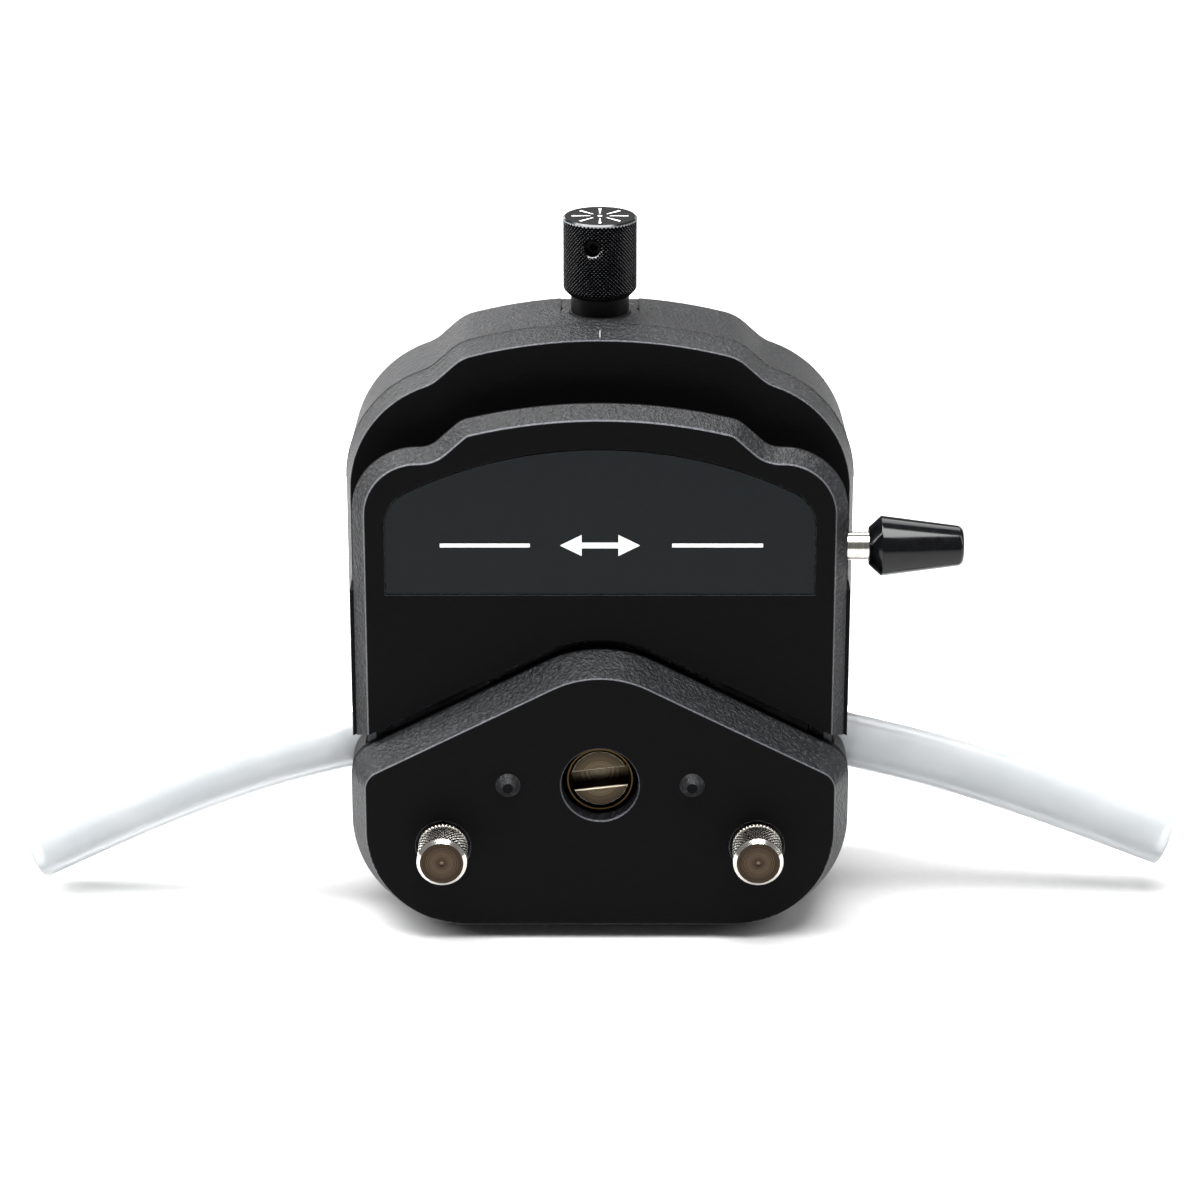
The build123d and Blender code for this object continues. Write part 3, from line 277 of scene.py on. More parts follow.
def turnedSteel(name, centre, axis, look, bands=None, edge=None):
    steel = {**turnedSet, **look}
    material, tree, shader, place = newMaterial(name)
    shift = addNode(tree, "ShaderNodeVectorMath", {"operation": "SUBTRACT"}, {0: place, 1: centre})
    parts = addNode(tree, "ShaderNodeSeparateXYZ", {}, {"Vector": shift.outputs[0]})
    across = {letter: parts.outputs[letter] for letter in "XYZ" if letter != axis}
    flat = addNode(tree, "ShaderNodeCombineXYZ", {}, across)
    radius = addNode(tree, "ShaderNodeVectorMath", {"operation": "LENGTH"},
                     {0: flat.outputs[0]}).outputs["Value"]
    along = parts.outputs[axis]
    both = addNode(tree, "ShaderNodeMath", {"operation": "ADD"}, {0: radius, 1: along}).outputs[0]
    line = addNode(tree, "ShaderNodeTexNoise", {"noise_dimensions": "1D"},
                   {"W": both, "Scale": 1 / (steel["ringMm"] * mm), "Detail": 3.0,
                    "Roughness": 0.7}).outputs["Fac"]
    tone = addNode(tree, "ShaderNodeValToRGB", {}, {"Fac": line},
                   [(0.3, colour(steel["dark"])), (0.65, colour(steel["code"]))]).outputs["Color"]
    if bands:
        span = bands[-1][0]
        share = addNode(tree, "ShaderNodeMath", {"operation": "MULTIPLY"}, {0: radius, 1: 1 / (span * mm)})
        tint = addNode(tree, "ShaderNodeValToRGB", {}, {"Fac": share.outputs[0]},
                       [(at / span, colour(code)) for at, code in bands])
        tone = addNode(tree, "ShaderNodeMix", {"data_type": "RGBA", "blend_type": "MULTIPLY"},
                       {0: 1.0, 6: tone, 7: tint.outputs["Color"]}).outputs[2]
    # the edge strip is a painted highlight, lighter and less metallic, so that the chamfer shows
    if edge:
        deep, code = edge
        start = addNode(tree, "ShaderNodeMapRange", {},
                        {"Value": along, "From Min": 0.01 * mm, "From Max": 0.04 * mm})
        stop = addNode(tree, "ShaderNodeMapRange", {},
                       {"Value": along, "From Min": deep * mm, "From Max": (deep + 0.04) * mm,
                        "To Min": 1.0, "To Max": 0.0})
        edgeHighlight = addNode(tree, "ShaderNodeMath", {"operation": "MULTIPLY"},
                        {0: start.outputs[0], 1: stop.outputs[0]})
        tone = addNode(tree, "ShaderNodeMix", {"data_type": "RGBA"},
                       {0: edgeHighlight.outputs[0], 6: tone, 7: colour(code)}).outputs[2]
        metal = addNode(tree, "ShaderNodeMapRange", {},
                        {"Value": edgeHighlight.outputs[0], "To Min": 1.0, "To Max": turnedSet["edgeMetal"]})
        tree.links.new(metal.outputs[0], shader.inputs["Metallic"])
    tree.links.new(tone, shader.inputs["Base Color"])
    rough = addNode(tree, "ShaderNodeMapRange", {},
                    {"Value": line, "To Min": steel["roughness"] * 0.75, "To Max": steel["roughness"] * 1.35})
    tree.links.new(rough.outputs[0], shader.inputs["Roughness"])
    shader.inputs["Metallic"].default_value = 1.0
    bump = addNode(tree, "ShaderNodeBump", {},
                   {"Strength": steel["relief"], "Distance": 0.02 * mm, "Height": line})
    tree.links.new(bump.outputs["Normal"], shader.inputs["Normal"])
    return material


# Cast phenolic, polished: deep black and glossy, with a few hair-fine scuffs.
phenolicSet = {"black": "050506", "scuffed": "0C0D0F", "scuffMm": 1.6, "smooth": 0.1, "rough": 0.17,
               "specular": 0.28}


def polishedPhenolic():
    material, tree, shader, place = newMaterial("polishedPhenolic")
    scuff = addNode(tree, "ShaderNodeTexNoise", {},
                    {"Vector": place, "Scale": 1 / (phenolicSet["scuffMm"] * mm), "Detail": 5.0})
    tone = addNode(tree, "ShaderNodeValToRGB", {}, {"Fac": scuff.outputs["Fac"]},
                   [(0.35, colour(phenolicSet["black"])), (0.7, colour(phenolicSet["scuffed"]))])
    tree.links.new(tone.outputs["Color"], shader.inputs["Base Color"])
    rough = addNode(tree, "ShaderNodeMapRange", {},
                    {"Value": scuff.outputs["Fac"], "To Min": phenolicSet["smooth"],
                     "To Max": phenolicSet["rough"]})
    tree.links.new(rough.outputs[0], shader.inputs["Roughness"])
    shader.inputs["Specular IOR Level"].default_value = phenolicSet["specular"]
    return material


# Aluminium, black anodised over a cut knurl: satin black, with the knurl's tips painted paler: a little wear, and
# painted glints where the tips catch the light.
anodisedSet = {"wearAndGlintMm": (0.12, 0.02), "mottleMm": 0.5}


def blackAnodised(name, centre, tipRadius, look):
    material, tree, shader, place = newMaterial(name)
    shift = addNode(tree, "ShaderNodeVectorMath", {"operation": "SUBTRACT"}, {0: place, 1: centre})
    flat = addNode(tree, "ShaderNodeVectorMath", {"operation": "MULTIPLY"}, {0: shift.outputs[0], 1: (1, 1, 0)})
    radius = addNode(tree, "ShaderNodeVectorMath", {"operation": "LENGTH"},
                     {0: flat.outputs[0]}).outputs["Value"]
    deep, shallow = anodisedSet["wearAndGlintMm"]
    # the tips' paler colour: painted glints, over a little wear
    wearAndGlint = addNode(tree, "ShaderNodeMapRange", {},
                   {"Value": radius, "From Min": (tipRadius - deep) * mm, "From Max": (tipRadius - shallow) * mm})
    mottle = addNode(tree, "ShaderNodeTexNoise", {},
                     {"Vector": place, "Scale": 1 / (anodisedSet["mottleMm"] * mm), "Detail": 3.0})
    share = addNode(tree, "ShaderNodeMath", {"operation": "MULTIPLY"},
                    {0: wearAndGlint.outputs[0], 1: mottle.outputs["Fac"]})
    tone = addNode(tree, "ShaderNodeValToRGB", {}, {"Fac": share.outputs[0]},
                   [(0.12, colour(look["black"])), (0.5, colour(look["wearAndGlint"]))]).outputs["Color"]
    tree.links.new(tone, shader.inputs["Base Color"])
    shader.inputs["Roughness"].default_value = look["roughness"]
    shader.inputs["Specular IOR Level"].default_value = look["specular"]
    bump = addNode(tree, "ShaderNodeBump", {},
                   {"Strength": 0.2, "Distance": 0.02 * mm, "Height": mottle.outputs["Fac"]})
    tree.links.new(bump.outputs["Normal"], shader.inputs["Normal"])
    return material


# Silicone, extruded and cured: milky and soft, light passes but nothing shows sharp through it.
siliconeSet = {"milk": "CFD1D2", "vein": "C4C8CB", "cloudMm": 14.0, "waveMm": 3.0, "roughness": 0.2,
               "specular": 0.28, "ior": 1.41, "through": 0.55, "scatter": 0.2, "scatterMm": 6.0}


def extrudedSilicone():
    material, tree, shader, place = newMaterial("extrudedSilicone")
    cloud = addNode(tree, "ShaderNodeTexNoise", {},
                    {"Vector": place, "Scale": 1 / (siliconeSet["cloudMm"] * mm), "Detail": 3.0})
    tone = addNode(tree, "ShaderNodeValToRGB", {}, {"Fac": cloud.outputs["Fac"]},
                   [(0.3, colour(siliconeSet["vein"])), (0.7, colour(siliconeSet["milk"]))]).outputs["Color"]
    tree.links.new(tone, shader.inputs["Base Color"])
    shader.inputs["Roughness"].default_value = siliconeSet["roughness"]
    shader.inputs["IOR"].default_value = siliconeSet["ior"]
    shader.inputs["Specular IOR Level"].default_value = siliconeSet["specular"]
    shader.inputs["Transmission Weight"].default_value = siliconeSet["through"]
    shader.inputs["Subsurface Weight"].default_value = siliconeSet["scatter"]
    shader.inputs["Subsurface Radius"].default_value = [siliconeSet["scatterMm"] * mm] * 3
    shader.inputs["Subsurface Scale"].default_value = 1.0
    wave = addNode(tree, "ShaderNodeTexNoise", {},
                   {"Vector": place, "Scale": 1 / (siliconeSet["waveMm"] * mm), "Detail": 1.0})
    bump = addNode(tree, "ShaderNodeBump", {},
                   {"Strength": 0.08, "Distance": 0.05 * mm, "Height": wave.outputs["Fac"]})
    tree.links.new(bump.outputs["Normal"], shader.inputs["Normal"])
    return material


# Nitrile rubber, moulded: dull black with a dusty bloom.
rubberSet = {"black": "0D0D0E", "bloom": "1C1C1D", "bloomMm": 1.2, "roughness": 0.75}


def mouldedRubber():
    material, tree, shader, place = newMaterial("mouldedRubber")
    bloom = addNode(tree, "ShaderNodeTexNoise", {},
                    {"Vector": place, "Scale": 1 / (rubberSet["bloomMm"] * mm), "Detail": 4.0})
    tone = addNode(tree, "ShaderNodeValToRGB", {}, {"Fac": bloom.outputs["Fac"]},
                   [(0.3, colour(rubberSet["black"])), (0.75, colour(rubberSet["bloom"]))])
    tree.links.new(tone.outputs["Color"], shader.inputs["Base Color"])
    shader.inputs["Roughness"].default_value = rubberSet["roughness"]
    return material


# Acetal, turned: black and waxy.
acetalSet = {"black": "0B0B0C", "line": "161617", "lineMm": 0.4, "roughness": 0.45}


def turnedAcetal():
    material, tree, shader, place = newMaterial("turnedAcetal")
    line = addNode(tree, "ShaderNodeTexNoise", {},
                   {"Vector": place, "Scale": 1 / (acetalSet["lineMm"] * mm), "Detail": 2.0})
    tone = addNode(tree, "ShaderNodeValToRGB", {}, {"Fac": line.outputs["Fac"]},
                   [(0.3, colour(acetalSet["black"])), (0.7, colour(acetalSet["line"]))])
    tree.links.new(tone.outputs["Color"], shader.inputs["Base Color"])
    shader.inputs["Roughness"].default_value = acetalSet["roughness"]
    return material


def deselectAll():
    if bpy.context.object and bpy.context.object.mode != "OBJECT":
        bpy.ops.object.mode_set(mode="OBJECT")
    bpy.ops.object.select_all(action="DESELECT")


def pick(piece, test, kind="faces"):
    # in edit mode: selects the faces, edges or vertices whose middle passes the test
    bpy.ops.mesh.select_all(action="DESELECT")
    modes = {"faces": "FACE", "edges": "EDGE", "verts": "VERT"}
    bpy.ops.mesh.select_mode(type=modes[kind])
    shape = bmesh.from_edit_mesh(piece.data)
    count = 0
    for item in getattr(shape, kind):
        if kind == "faces":
            middle = item.calc_center_median()
        elif kind == "edges":
            middle = (item.verts[0].co + item.verts[1].co) / 2
        else:
            middle = item.co
        if test(middle, item):
            item.select_set(True)
            count += 1
    shape.select_flush_mode()
    bmesh.update_edit_mesh(piece.data)
    return count


def editNew(name):
    piece = bpy.context.object
    piece.name = name
    piece.data.name = name
    bpy.ops.object.mode_set(mode="EDIT")
    return piece


def applyPlace(piece):
    deselectAll()
    piece.select_set(True)
    bpy.context.view_layer.objects.active = piece
    bpy.ops.object.transform_apply(location=True, rotation=True, scale=True)


def applyModifier(piece, kind, settings):
    deselectAll()
    piece.select_set(True)
    bpy.context.view_layer.objects.active = piece
    modifier = piece.modifiers.new(kind.lower(), kind)
    for key, value in settings.items():
        setattr(modifier, key, value)
    bpy.ops.object.modifier_apply(modifier=modifier.name)


def cutWith(piece, tool, operation="DIFFERENCE"):
    # the tool shapes the piece and is gone
    if bpy.context.object.mode != "OBJECT":
        bpy.ops.object.mode_set(mode="OBJECT")
    applyPlace(tool)
    applyModifier(piece, "BOOLEAN", {"object": tool, "operation": operation, "solver": "EXACT"})
    bpy.data.objects.remove(tool)


def breakEdges(piece, test, width, segments):
    # in edit mode: rounds the edges whose middle passes the test, width in millimetres
    pick(piece, test, "edges")
    bpy.ops.mesh.bevel(offset=width * mm, segments=segments, affect="EDGES")


def edgeRise(edge):
    return abs(edge.verts[0].co.z - edge.verts[1].co.z) / mm


def finishPiece(piece, body, material, replaced=(), smooth=35):
    applyPlace(piece)
    bpy.ops.object.mode_set(mode="EDIT")
    bpy.ops.mesh.select_all(action="SELECT")
    bpy.ops.mesh.remove_doubles(threshold=0.000001)
    bpy.ops.mesh.normals_make_consistent(inside=False)
    bpy.ops.object.mode_set(mode="OBJECT")
    bpy.ops.object.shade_smooth_by_angle(angle=math.radians(smooth))
    piece.data.materials.clear()
    piece.data.materials.append(material)
    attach(piece, body)
    if replaced:
        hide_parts(*replaced)
    print("made", piece.name, len(piece.data.polygons), "faces")
    return piece


def paintFaces(piece, material, test):
    piece.data.materials.append(material)
    last = len(piece.data.materials) - 1
    for face in piece.data.polygons:
        if test(face.center, face.normal):
            face.material_index = last


def paint(material, *names):
    for name in names:
        nodes[name].data.materials.clear()
        nodes[name].data.materials.append(material)


# the lathe's parts: knurled drums, made as a drum whose rings are pushed in at every other corner. The
# diamonds are about 0.8 mm apart, a little coarser than a fine knurl, so that they show
def knurledDrum(name, radius, low, high, around, rows, cut):
    # stands on Z about the origin, from low to high, in millimetres
    deselectAll()
    bpy.ops.mesh.primitive_cylinder_add(
        vertices=around, radius=radius * mm, depth=(high - low) * mm, location=(0, 0, (low + high) / 2 * mm))
    piece = editNew(name)
    bpy.ops.object.mode_set(mode="OBJECT")
    applyPlace(piece)
    bpy.ops.object.mode_set(mode="EDIT")
    pick(piece, lambda middle, edge: edgeRise(edge) > 0.5 * (high - low), "edges")
    bpy.ops.mesh.subdivide(number_cuts=rows - 1)
    step = (high - low) / rows

    def valley(middle, vert):
        ring = round((vert.co.z / mm - low) / step)
        turn = round(math.atan2(vert.co.y, vert.co.x) / (2 * math.pi / around))
        return 0 < ring < rows and (ring + turn) % 2 == 0

    pick(piece, valley, "verts")
    share = 1 - cut / radius
    bpy.ops.transform.resize(value=(share, share, 1), center_override=(0, 0, 0))
    pick(piece, lambda middle, face: abs(face.normal.z) < 0.8)
    bpy.ops.mesh.quads_convert_to_tris(quad_method="SHORTEST_DIAGONAL")
    return piece


def capFace(piece, z):
    return pick(piece, lambda middle, face: abs(middle.z - z * mm) < 0.00001 and abs(face.normal.z) > 0.9)


def stepCap(piece, z, moves):
    # from the flat end at z: each move is a rise and a new radius over the old one
    capFace(piece, z)
    for rise, share in moves:
        bpy.ops.mesh.extrude_region_move(TRANSFORM_OT_translate={"value": (0, 0, rise * mm)})
        bpy.ops.transform.resize(value=(share, share, 1), center_override=(0, 0, 0))


knobSet = {
    "around": 116,
    "rows": 40,
    "cut": 0.42,
    "holeMm": 3.5,
    "sinkMm": 0.5,
    "sunkRadius": 2.5,
    "drillMm": 12.0,
    "holeHeight": 107.2,
    "holeTurn": -13.0,
    "markCount": 8,
    "markInner": 2.0,
    "markOuter": 5.9,
    "markWide": 0.55,
    "edge": 0.35,
    "neckRadius": 6.1,
    "neckTop": 95.5,
    "bodyBottom": 97.2,
    "endCurve": 1.4,
    "inkMm": 0.05,
    "dotRadius": 0.5,
    # the cut knurl's pale tips are painted glints, with a little wear
    "cutLook": {"black": "020203", "wearAndGlint": "86888C", "roughness": 0.4, "specular": 0.12},
    "smoothLook": {"black": "08090A", "wearAndGlint": "0C0D0E", "roughness": 0.2, "specular": 0.6},
}


def makeKnob():
    low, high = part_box("adjust_knob")
    centre = (low + high) / 2
    radius = (high.x - low.x) / 2 / mm
    bottom, top = low.z / mm, high.z / mm
    edge = knobSet["edge"]
    neckTop, bodyBottom = knobSet["neckTop"], knobSet["bodyBottom"]
    piece = knurledDrum("knurledKnob", radius, neckTop, top - edge,
                        knobSet["around"], knobSet["rows"], knobSet["cut"])
    # the knurl runs on over the rounded lower end
    inset = 1 - knobSet["neckRadius"] / radius
    step = (top - edge - neckTop) / knobSet["rows"]
    for ring in range(knobSet["rows"]):
        height = neckTop + ring * step
        if height < bodyBottom:
            down = (bodyBottom - height) / (bodyBottom - neckTop)
            share = 1 - inset * down ** knobSet["endCurve"]
            pick(piece, lambda middle, vert: abs(vert.co.z - height * mm) < 0.1 * step * mm, "verts")
            bpy.ops.transform.resize(value=(share, share, 1), center_override=(0, 0, 0))
    stepCap(piece, top - edge, [(edge, 1 - edge / radius)])
    stepCap(piece, neckTop, [(bottom - neckTop, 1.0)])
    bpy.ops.object.mode_set(mode="OBJECT")
    piece.location = (centre.x, centre.y, 0)
    applyPlace(piece)
    # cross hole for the set screw, with a broken edge
    deselectAll()
    long = knobSet["drillMm"]
    bpy.ops.mesh.primitive_cylinder_add(vertices=32, radius=knobSet["holeMm"] / 2 * mm, depth=long * mm,
                                        location=(0, -long / 2 * mm, 0), rotation=(math.pi / 2, 0, 0))
    drill = editNew("drill")
    bpy.ops.object.mode_set(mode="OBJECT")
    applyPlace(drill)
    bpy.ops.object.mode_set(mode="EDIT")
    pick(drill, lambda middle, face: middle.y < (0.1 - long) * mm)
    bpy.ops.transform.translate(value=(0, (long - radius + knobSet["sinkMm"]) * mm, 0))
    bpy.ops.mesh.extrude_region_move(TRANSFORM_OT_translate={"value": (0, -2 * knobSet["sinkMm"] * mm, 0)})
    wide = 1 + 4 * knobSet["sinkMm"] / knobSet["holeMm"]
    bpy.ops.transform.resize(value=(wide, 1, wide), center_override=(0, 0, 0))
    turn = math.radians(knobSet["holeTurn"])
    drill.rotation_euler = (0, 0, turn)
    drill.location = (centre.x, centre.y, knobSet["holeHeight"] * mm)
    cutWith(piece, drill)
    axis = (centre.x, centre.y, 0)
    finishPiece(piece, "adjuster", blackAnodised("blackAnodised", axis, radius, knobSet["cutLook"]),
                ("adjust_knob",), 28)

    def brokenEdge(middle, normal):
        # the top's edge, and the sunk rim of the hole, whose faces lean towards the hole's axis
        side = (middle.x - centre.x) * math.cos(turn) + (middle.y - centre.y) * math.sin(turn)
        outward = (middle.x - centre.x) * math.sin(turn) - (middle.y - centre.y) * math.cos(turn)
        over = middle.z - knobSet["holeHeight"] * mm
        slope = normal.x * math.sin(turn) - normal.y * math.cos(turn)
        atHole = outward > 0 and knobSet["holeMm"] / 2 < math.hypot(side, over) / mm < knobSet["sunkRadius"]
        leaning = 0.55 < slope < 0.85 and normal.z * over < 0.0002
        return middle.z > (top - edge + 0.02) * mm or (atHole and leaning)

    paintFaces(piece, blackAnodised("blackAnodisedSmooth", axis, radius, knobSet["smoothLook"]), brokenEdge)
    # engraved and filled marks on the top face
    marks = []
    middle = (knobSet["markInner"] + knobSet["markOuter"]) / 2
    for number in range(knobSet["markCount"]):
        deselectAll()
        bpy.ops.mesh.primitive_cube_add(size=1, location=(middle * mm, 0, top * mm), scale=(
            (knobSet["markOuter"] - knobSet["markInner"]) * mm, knobSet["markWide"] * mm, knobSet["inkMm"] * mm))
        mark = editNew(f"knobMark{number}")
        bpy.ops.object.mode_set(mode="OBJECT")
        applyPlace(mark)
        bpy.ops.object.mode_set(mode="EDIT")
        pick(mark, lambda middle, vert: vert.co.x < 3 * mm, "verts")
        bpy.ops.transform.resize(value=(1, 0.35, 1), center_override=(0, 0, 0))
        breakEdges(mark, lambda middle, edge: edgeRise(edge) > 0.01, 0.09, 3)
        bpy.ops.object.mode_set(mode="OBJECT")
        mark.rotation_euler = (0, 0, number * 2 * math.pi / knobSet["markCount"] + math.radians(90))
        mark.location = (centre.x, centre.y, 0)
        applyPlace(mark)
        marks.append(mark)
    deselectAll()
    bpy.ops.mesh.primitive_cylinder_add(vertices=24, radius=knobSet["dotRadius"] * mm, depth=0.06 * mm,
                                        location=(centre.x, centre.y, top * mm))
    dot = editNew("knobDot")
    breakEdges(dot, lambda middle, edge: edgeRise(edge) < 0.01, 0.015, 2)
    bpy.ops.object.mode_set(mode="OBJECT")
    deselectAll()
    for mark in marks + [dot]:
        mark.select_set(True)
    bpy.context.view_layer.objects.active = dot
    bpy.ops.object.join()
    dot.name = "knobMarks"
    finishPiece(dot, "adjuster", screenInk("filledMarks", "F4F4F2"))


thumbSet = {
    "around": 84,
    "rows": 12,
    "cut": 0.45,
    "chamfer": 0.7,
    "counterbore": 1.5,
    "rim": 0.12,
    "dish": 0.06,
    "lean": 0.985,
    "ringStep": 0.3,
    "centreDeep": 0.25,
    "centreShare": 0.25,
    "tip": 0.7,
    "tipShare": 0.76,
    "faceRadius": 4.5,
    "rings": [(3.9, 0.03), (3.1, -0.03), (2.3, 0.03), (1.5, -0.03), (0.8, 0.03)],
    "threadPitch": 0.8,
    "shankRadius": 2.1,
    "threadRadius": 2.5,
    "threadCut": 0.4,
    "knurl": {"code": "E4E1DB", "dark": "B9B4AC", "ringMm": 0.5, "roughness": 0.26},
    # the face's dark brown is a painted reflection of dark surroundings
    "face": {"code": "6E655A", "dark": "453E36", "ringMm": 0.22, "roughness": 0.24, "relief": 0.6},
    "chamferSteel": {"code": "E2DFD9", "dark": "C9C5BD", "ringMm": 0.3, "roughness": 0.16, "relief": 0.15},
}


def makeThumbScrew(side, node):
    low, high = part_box(node)
    centre = (low + high) / 2
    radius = (high.x - low.x) / 2 / mm
    front, back = low.y / mm, high.y / mm
    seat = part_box("front_cover")[0].y / mm + thumbSet["counterbore"]
    chamfer = thumbSet["chamfer"]
    # made upright: the head's face looks up, and the shank hangs below
    headHigh = -front - chamfer
    piece = knurledDrum("thumbScrew" + side, radius, -seat, headHigh,
                        thumbSet["around"], thumbSet["rows"], thumbSet["cut"])
    stepCap(piece, headHigh, [(chamfer, (radius - chamfer) / radius)])
    # the face: sunk a little inside its rim, then shallow rings, and the lathe's centre mark
    last = radius - chamfer
    faceZ = headHigh + chamfer
    rim, dish, lean, step = thumbSet["rim"], thumbSet["dish"], thumbSet["lean"], thumbSet["ringStep"]
    moves = [(0.0, (last - rim) / last), (-dish, lean)]
    last = (last - rim) * lean
    for ringRadius, lift in thumbSet["rings"]:
        moves.append((lift, (ringRadius + step) / last))
        moves.append((0.0, ringRadius / (ringRadius + step)))
        last = ringRadius
    moves.append((-thumbSet["centreDeep"], thumbSet["centreShare"]))
    stepCap(piece, faceZ, moves)
    stepCap(piece, -seat, [(0.0, thumbSet["shankRadius"] / radius), (seat, 1.0),
                           (0.0, thumbSet["threadRadius"] / thumbSet["shankRadius"])])
    pitch, cut = thumbSet["threadPitch"], thumbSet["threadCut"]
    share = 1 - cut / thumbSet["threadRadius"]
    turns = int((back - thumbSet["tip"]) / pitch)
    capFace(piece, 0)
    for turn in range(turns):
        for part, width in ((0.15, 1.0), (0.35, share), (0.15, 1.0), (0.35, 1 / share)):
            bpy.ops.mesh.extrude_region_move(TRANSFORM_OT_translate={"value": (0, 0, -part * pitch * mm)})
            bpy.ops.transform.resize(value=(width, width, 1), center_override=(0, 0, 0))
    rest = back - turns * pitch
    bpy.ops.mesh.extrude_region_move(TRANSFORM_OT_translate={"value": (0, 0, -rest * mm)})
    bpy.ops.transform.resize(value=(thumbSet["tipShare"], thumbSet["tipShare"], 1), center_override=(0, 0, 0))
    bpy.ops.object.mode_set(mode="OBJECT")
    # tip forward: up becomes the front
    piece.rotation_euler = (math.pi / 2, 0, 0)
    piece.location = (centre.x, 0, centre.z)
    applyPlace(piece)
    place = (centre.x, low.y, centre.z)
    valley, tip = radius - thumbSet["cut"], radius
    # the knurl's valleys, and all nearer the axis, are painted near black: painted shade in the grooves
    knurled = turnedSteel("knurledSteel" + side, place, "Y", thumbSet["knurl"],
                          [(0, "0A0A09"), (valley + 0.16, "131211"), (tip - 0.12, "FFFFFF"),
                           (tip + 1, "FFFFFF")])
    finishPiece(piece, side.lower() + "_thumb_screw", knurled, (node,), 30)
    # the face is painted a dark brown, a painted reflection of dark surroundings, tinted in rings by its distance
    # from the axis
    faced = turnedSteel("facedSteelPaintedReflection" + side, place, "Y", thumbSet["face"],
                        [(0, "FFFFFF"), (0.3, "FFF4E0"), (0.5, "8A8078"), (2.0, "B5ACA2"), (4.0, "8A8078"),
                         (5.0, "9A9088")])
    bright = turnedSteel("brightSteel" + side, place, "Y", thumbSet["chamferSteel"])

    def middleDistance(middle):
        return math.hypot(middle.x - centre.x, middle.z - centre.z) / mm

    paintFaces(piece, bright,
               lambda middle, normal: middle.y < low.y + (chamfer + 0.02) * mm or middle.y > seat * mm)
    paintFaces(piece, faced, lambda middle, normal: middle.y < low.y + 0.4 * mm
               and middleDistance(middle) < thumbSet["faceRadius"])


handleSet = {
    "around": 96,
    "cone": 2.6,
    "endRadius": 3.9,
    "maxRadius": 6.35,
    "tipRadius": 4.1,
    "edge": 1.2,
    "rodRadius": 3.09,
    "socketDeep": 1.2,
    "coneEdge": 0.18,
    "endEdge": 0.12,
}


def makeHandle():
    low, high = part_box("lever_handle")
    centre = (low + high) / 2
    start, end = low.x / mm, high.x / mm
    cone = start + handleSet["cone"]
    deselectAll()
    # upright about Z, with the tip up
    bpy.ops.mesh.primitive_cylinder_add(vertices=handleSet["around"], radius=handleSet["maxRadius"] * mm,
                                        depth=(end - cone) * mm, location=(0, 0, (end + cone) / 2 * mm))
    piece = editNew("leverHandle")
    bpy.ops.object.mode_set(mode="OBJECT")
    applyPlace(piece)
    bpy.ops.object.mode_set(mode="EDIT")
    capFace(piece, end)
    share = handleSet["tipRadius"] / handleSet["maxRadius"]
    bpy.ops.transform.resize(value=(share, share, 1), center_override=(0, 0, 0))
    breakEdges(piece, lambda middle, edge: min(v.co.z for v in edge.verts) > (end - 0.01) * mm,
               handleSet["edge"], 8)
    stepCap(piece, cone, [(start - cone, handleSet["endRadius"] / handleSet["maxRadius"]),
                          (0.0, handleSet["rodRadius"] / handleSet["endRadius"]), (handleSet["socketDeep"], 1.0)])
    breakEdges(piece, lambda middle, edge: abs(middle.z - cone * mm) < 0.00001 and edgeRise(edge) < 0.01,
               handleSet["coneEdge"], 3)
    breakEdges(piece, lambda middle, edge: abs(middle.z - start * mm) < 0.00001 and edgeRise(edge) < 0.01
               and middle.xy.length > 3.5 * mm, handleSet["endEdge"], 2)
    bpy.ops.object.mode_set(mode="OBJECT")
    piece.rotation_euler = (0, math.pi / 2, 0)
    piece.location = (0, centre.y, centre.z)
    applyPlace(piece)
    finishPiece(piece, "lever", polishedPhenolic(), ("lever_handle",), 40)


# the four screws of the back cover, with rounded heads and hexagon sockets
backScrewSet = {
    "places": ((24.0, 30.0), (-24.0, 30.0), (7.8, 83.0), (-7.8, 83.0)),
    "headRadius": 2.75,
    "seat": -1.8,
    "top": -0.2,
    "shankRadius": 1.5,
    "end": -8.0,
    "rim": 0.5,
    "socketRadius": 1.15,
    "socketDepth": 0.8,
    "turn": 0.4,
}


def makeBackScrews(steel):
    look = backScrewSet
    screws = []
    for number, (x, z) in enumerate(look["places"]):
        deselectAll()
        bpy.ops.mesh.primitive_cylinder_add(
            vertices=48, radius=look["headRadius"] * mm, depth=(look["top"] - look["seat"]) * mm,
            location=(0, 0, (look["top"] + look["seat"]) / 2 * mm))
        screw = editNew(f"backScrew{number}")
        bpy.ops.object.mode_set(mode="OBJECT")
        applyPlace(screw)
        bpy.ops.object.mode_set(mode="EDIT")
        breakEdges(screw, lambda middle, edge: min(v.co.z for v in edge.verts) > (look["top"] - 0.01) * mm,
                   look["rim"], 4)
        stepCap(screw, look["seat"], [(0.0, look["shankRadius"] / look["headRadius"]),
                                      (look["end"] - look["seat"], 1.0)])
        bpy.ops.object.mode_set(mode="OBJECT")
        deselectAll()
        bpy.ops.mesh.primitive_cylinder_add(vertices=6, radius=look["socketRadius"] * mm,
                                            depth=2 * look["socketDepth"] * mm, location=(0, 0, look["top"] * mm),
                                            rotation=(0, 0, look["turn"] * number))
        cutWith(screw, editNew("socket"))
        # up becomes the back
        screw.rotation_euler = (-math.pi / 2, 0, 0)
        screw.location = (x * mm, 0, z * mm)
        applyPlace(screw)
        screws.append(screw)
    deselectAll()
    for screw in screws:
        screw.select_set(True)
    bpy.context.view_layer.objects.active = screws[0]
    bpy.ops.object.join()
    screws[0].name = "backCoverScrews"
    finishPiece(screws[0], "jaw", steel, ("back_cover_screws",))


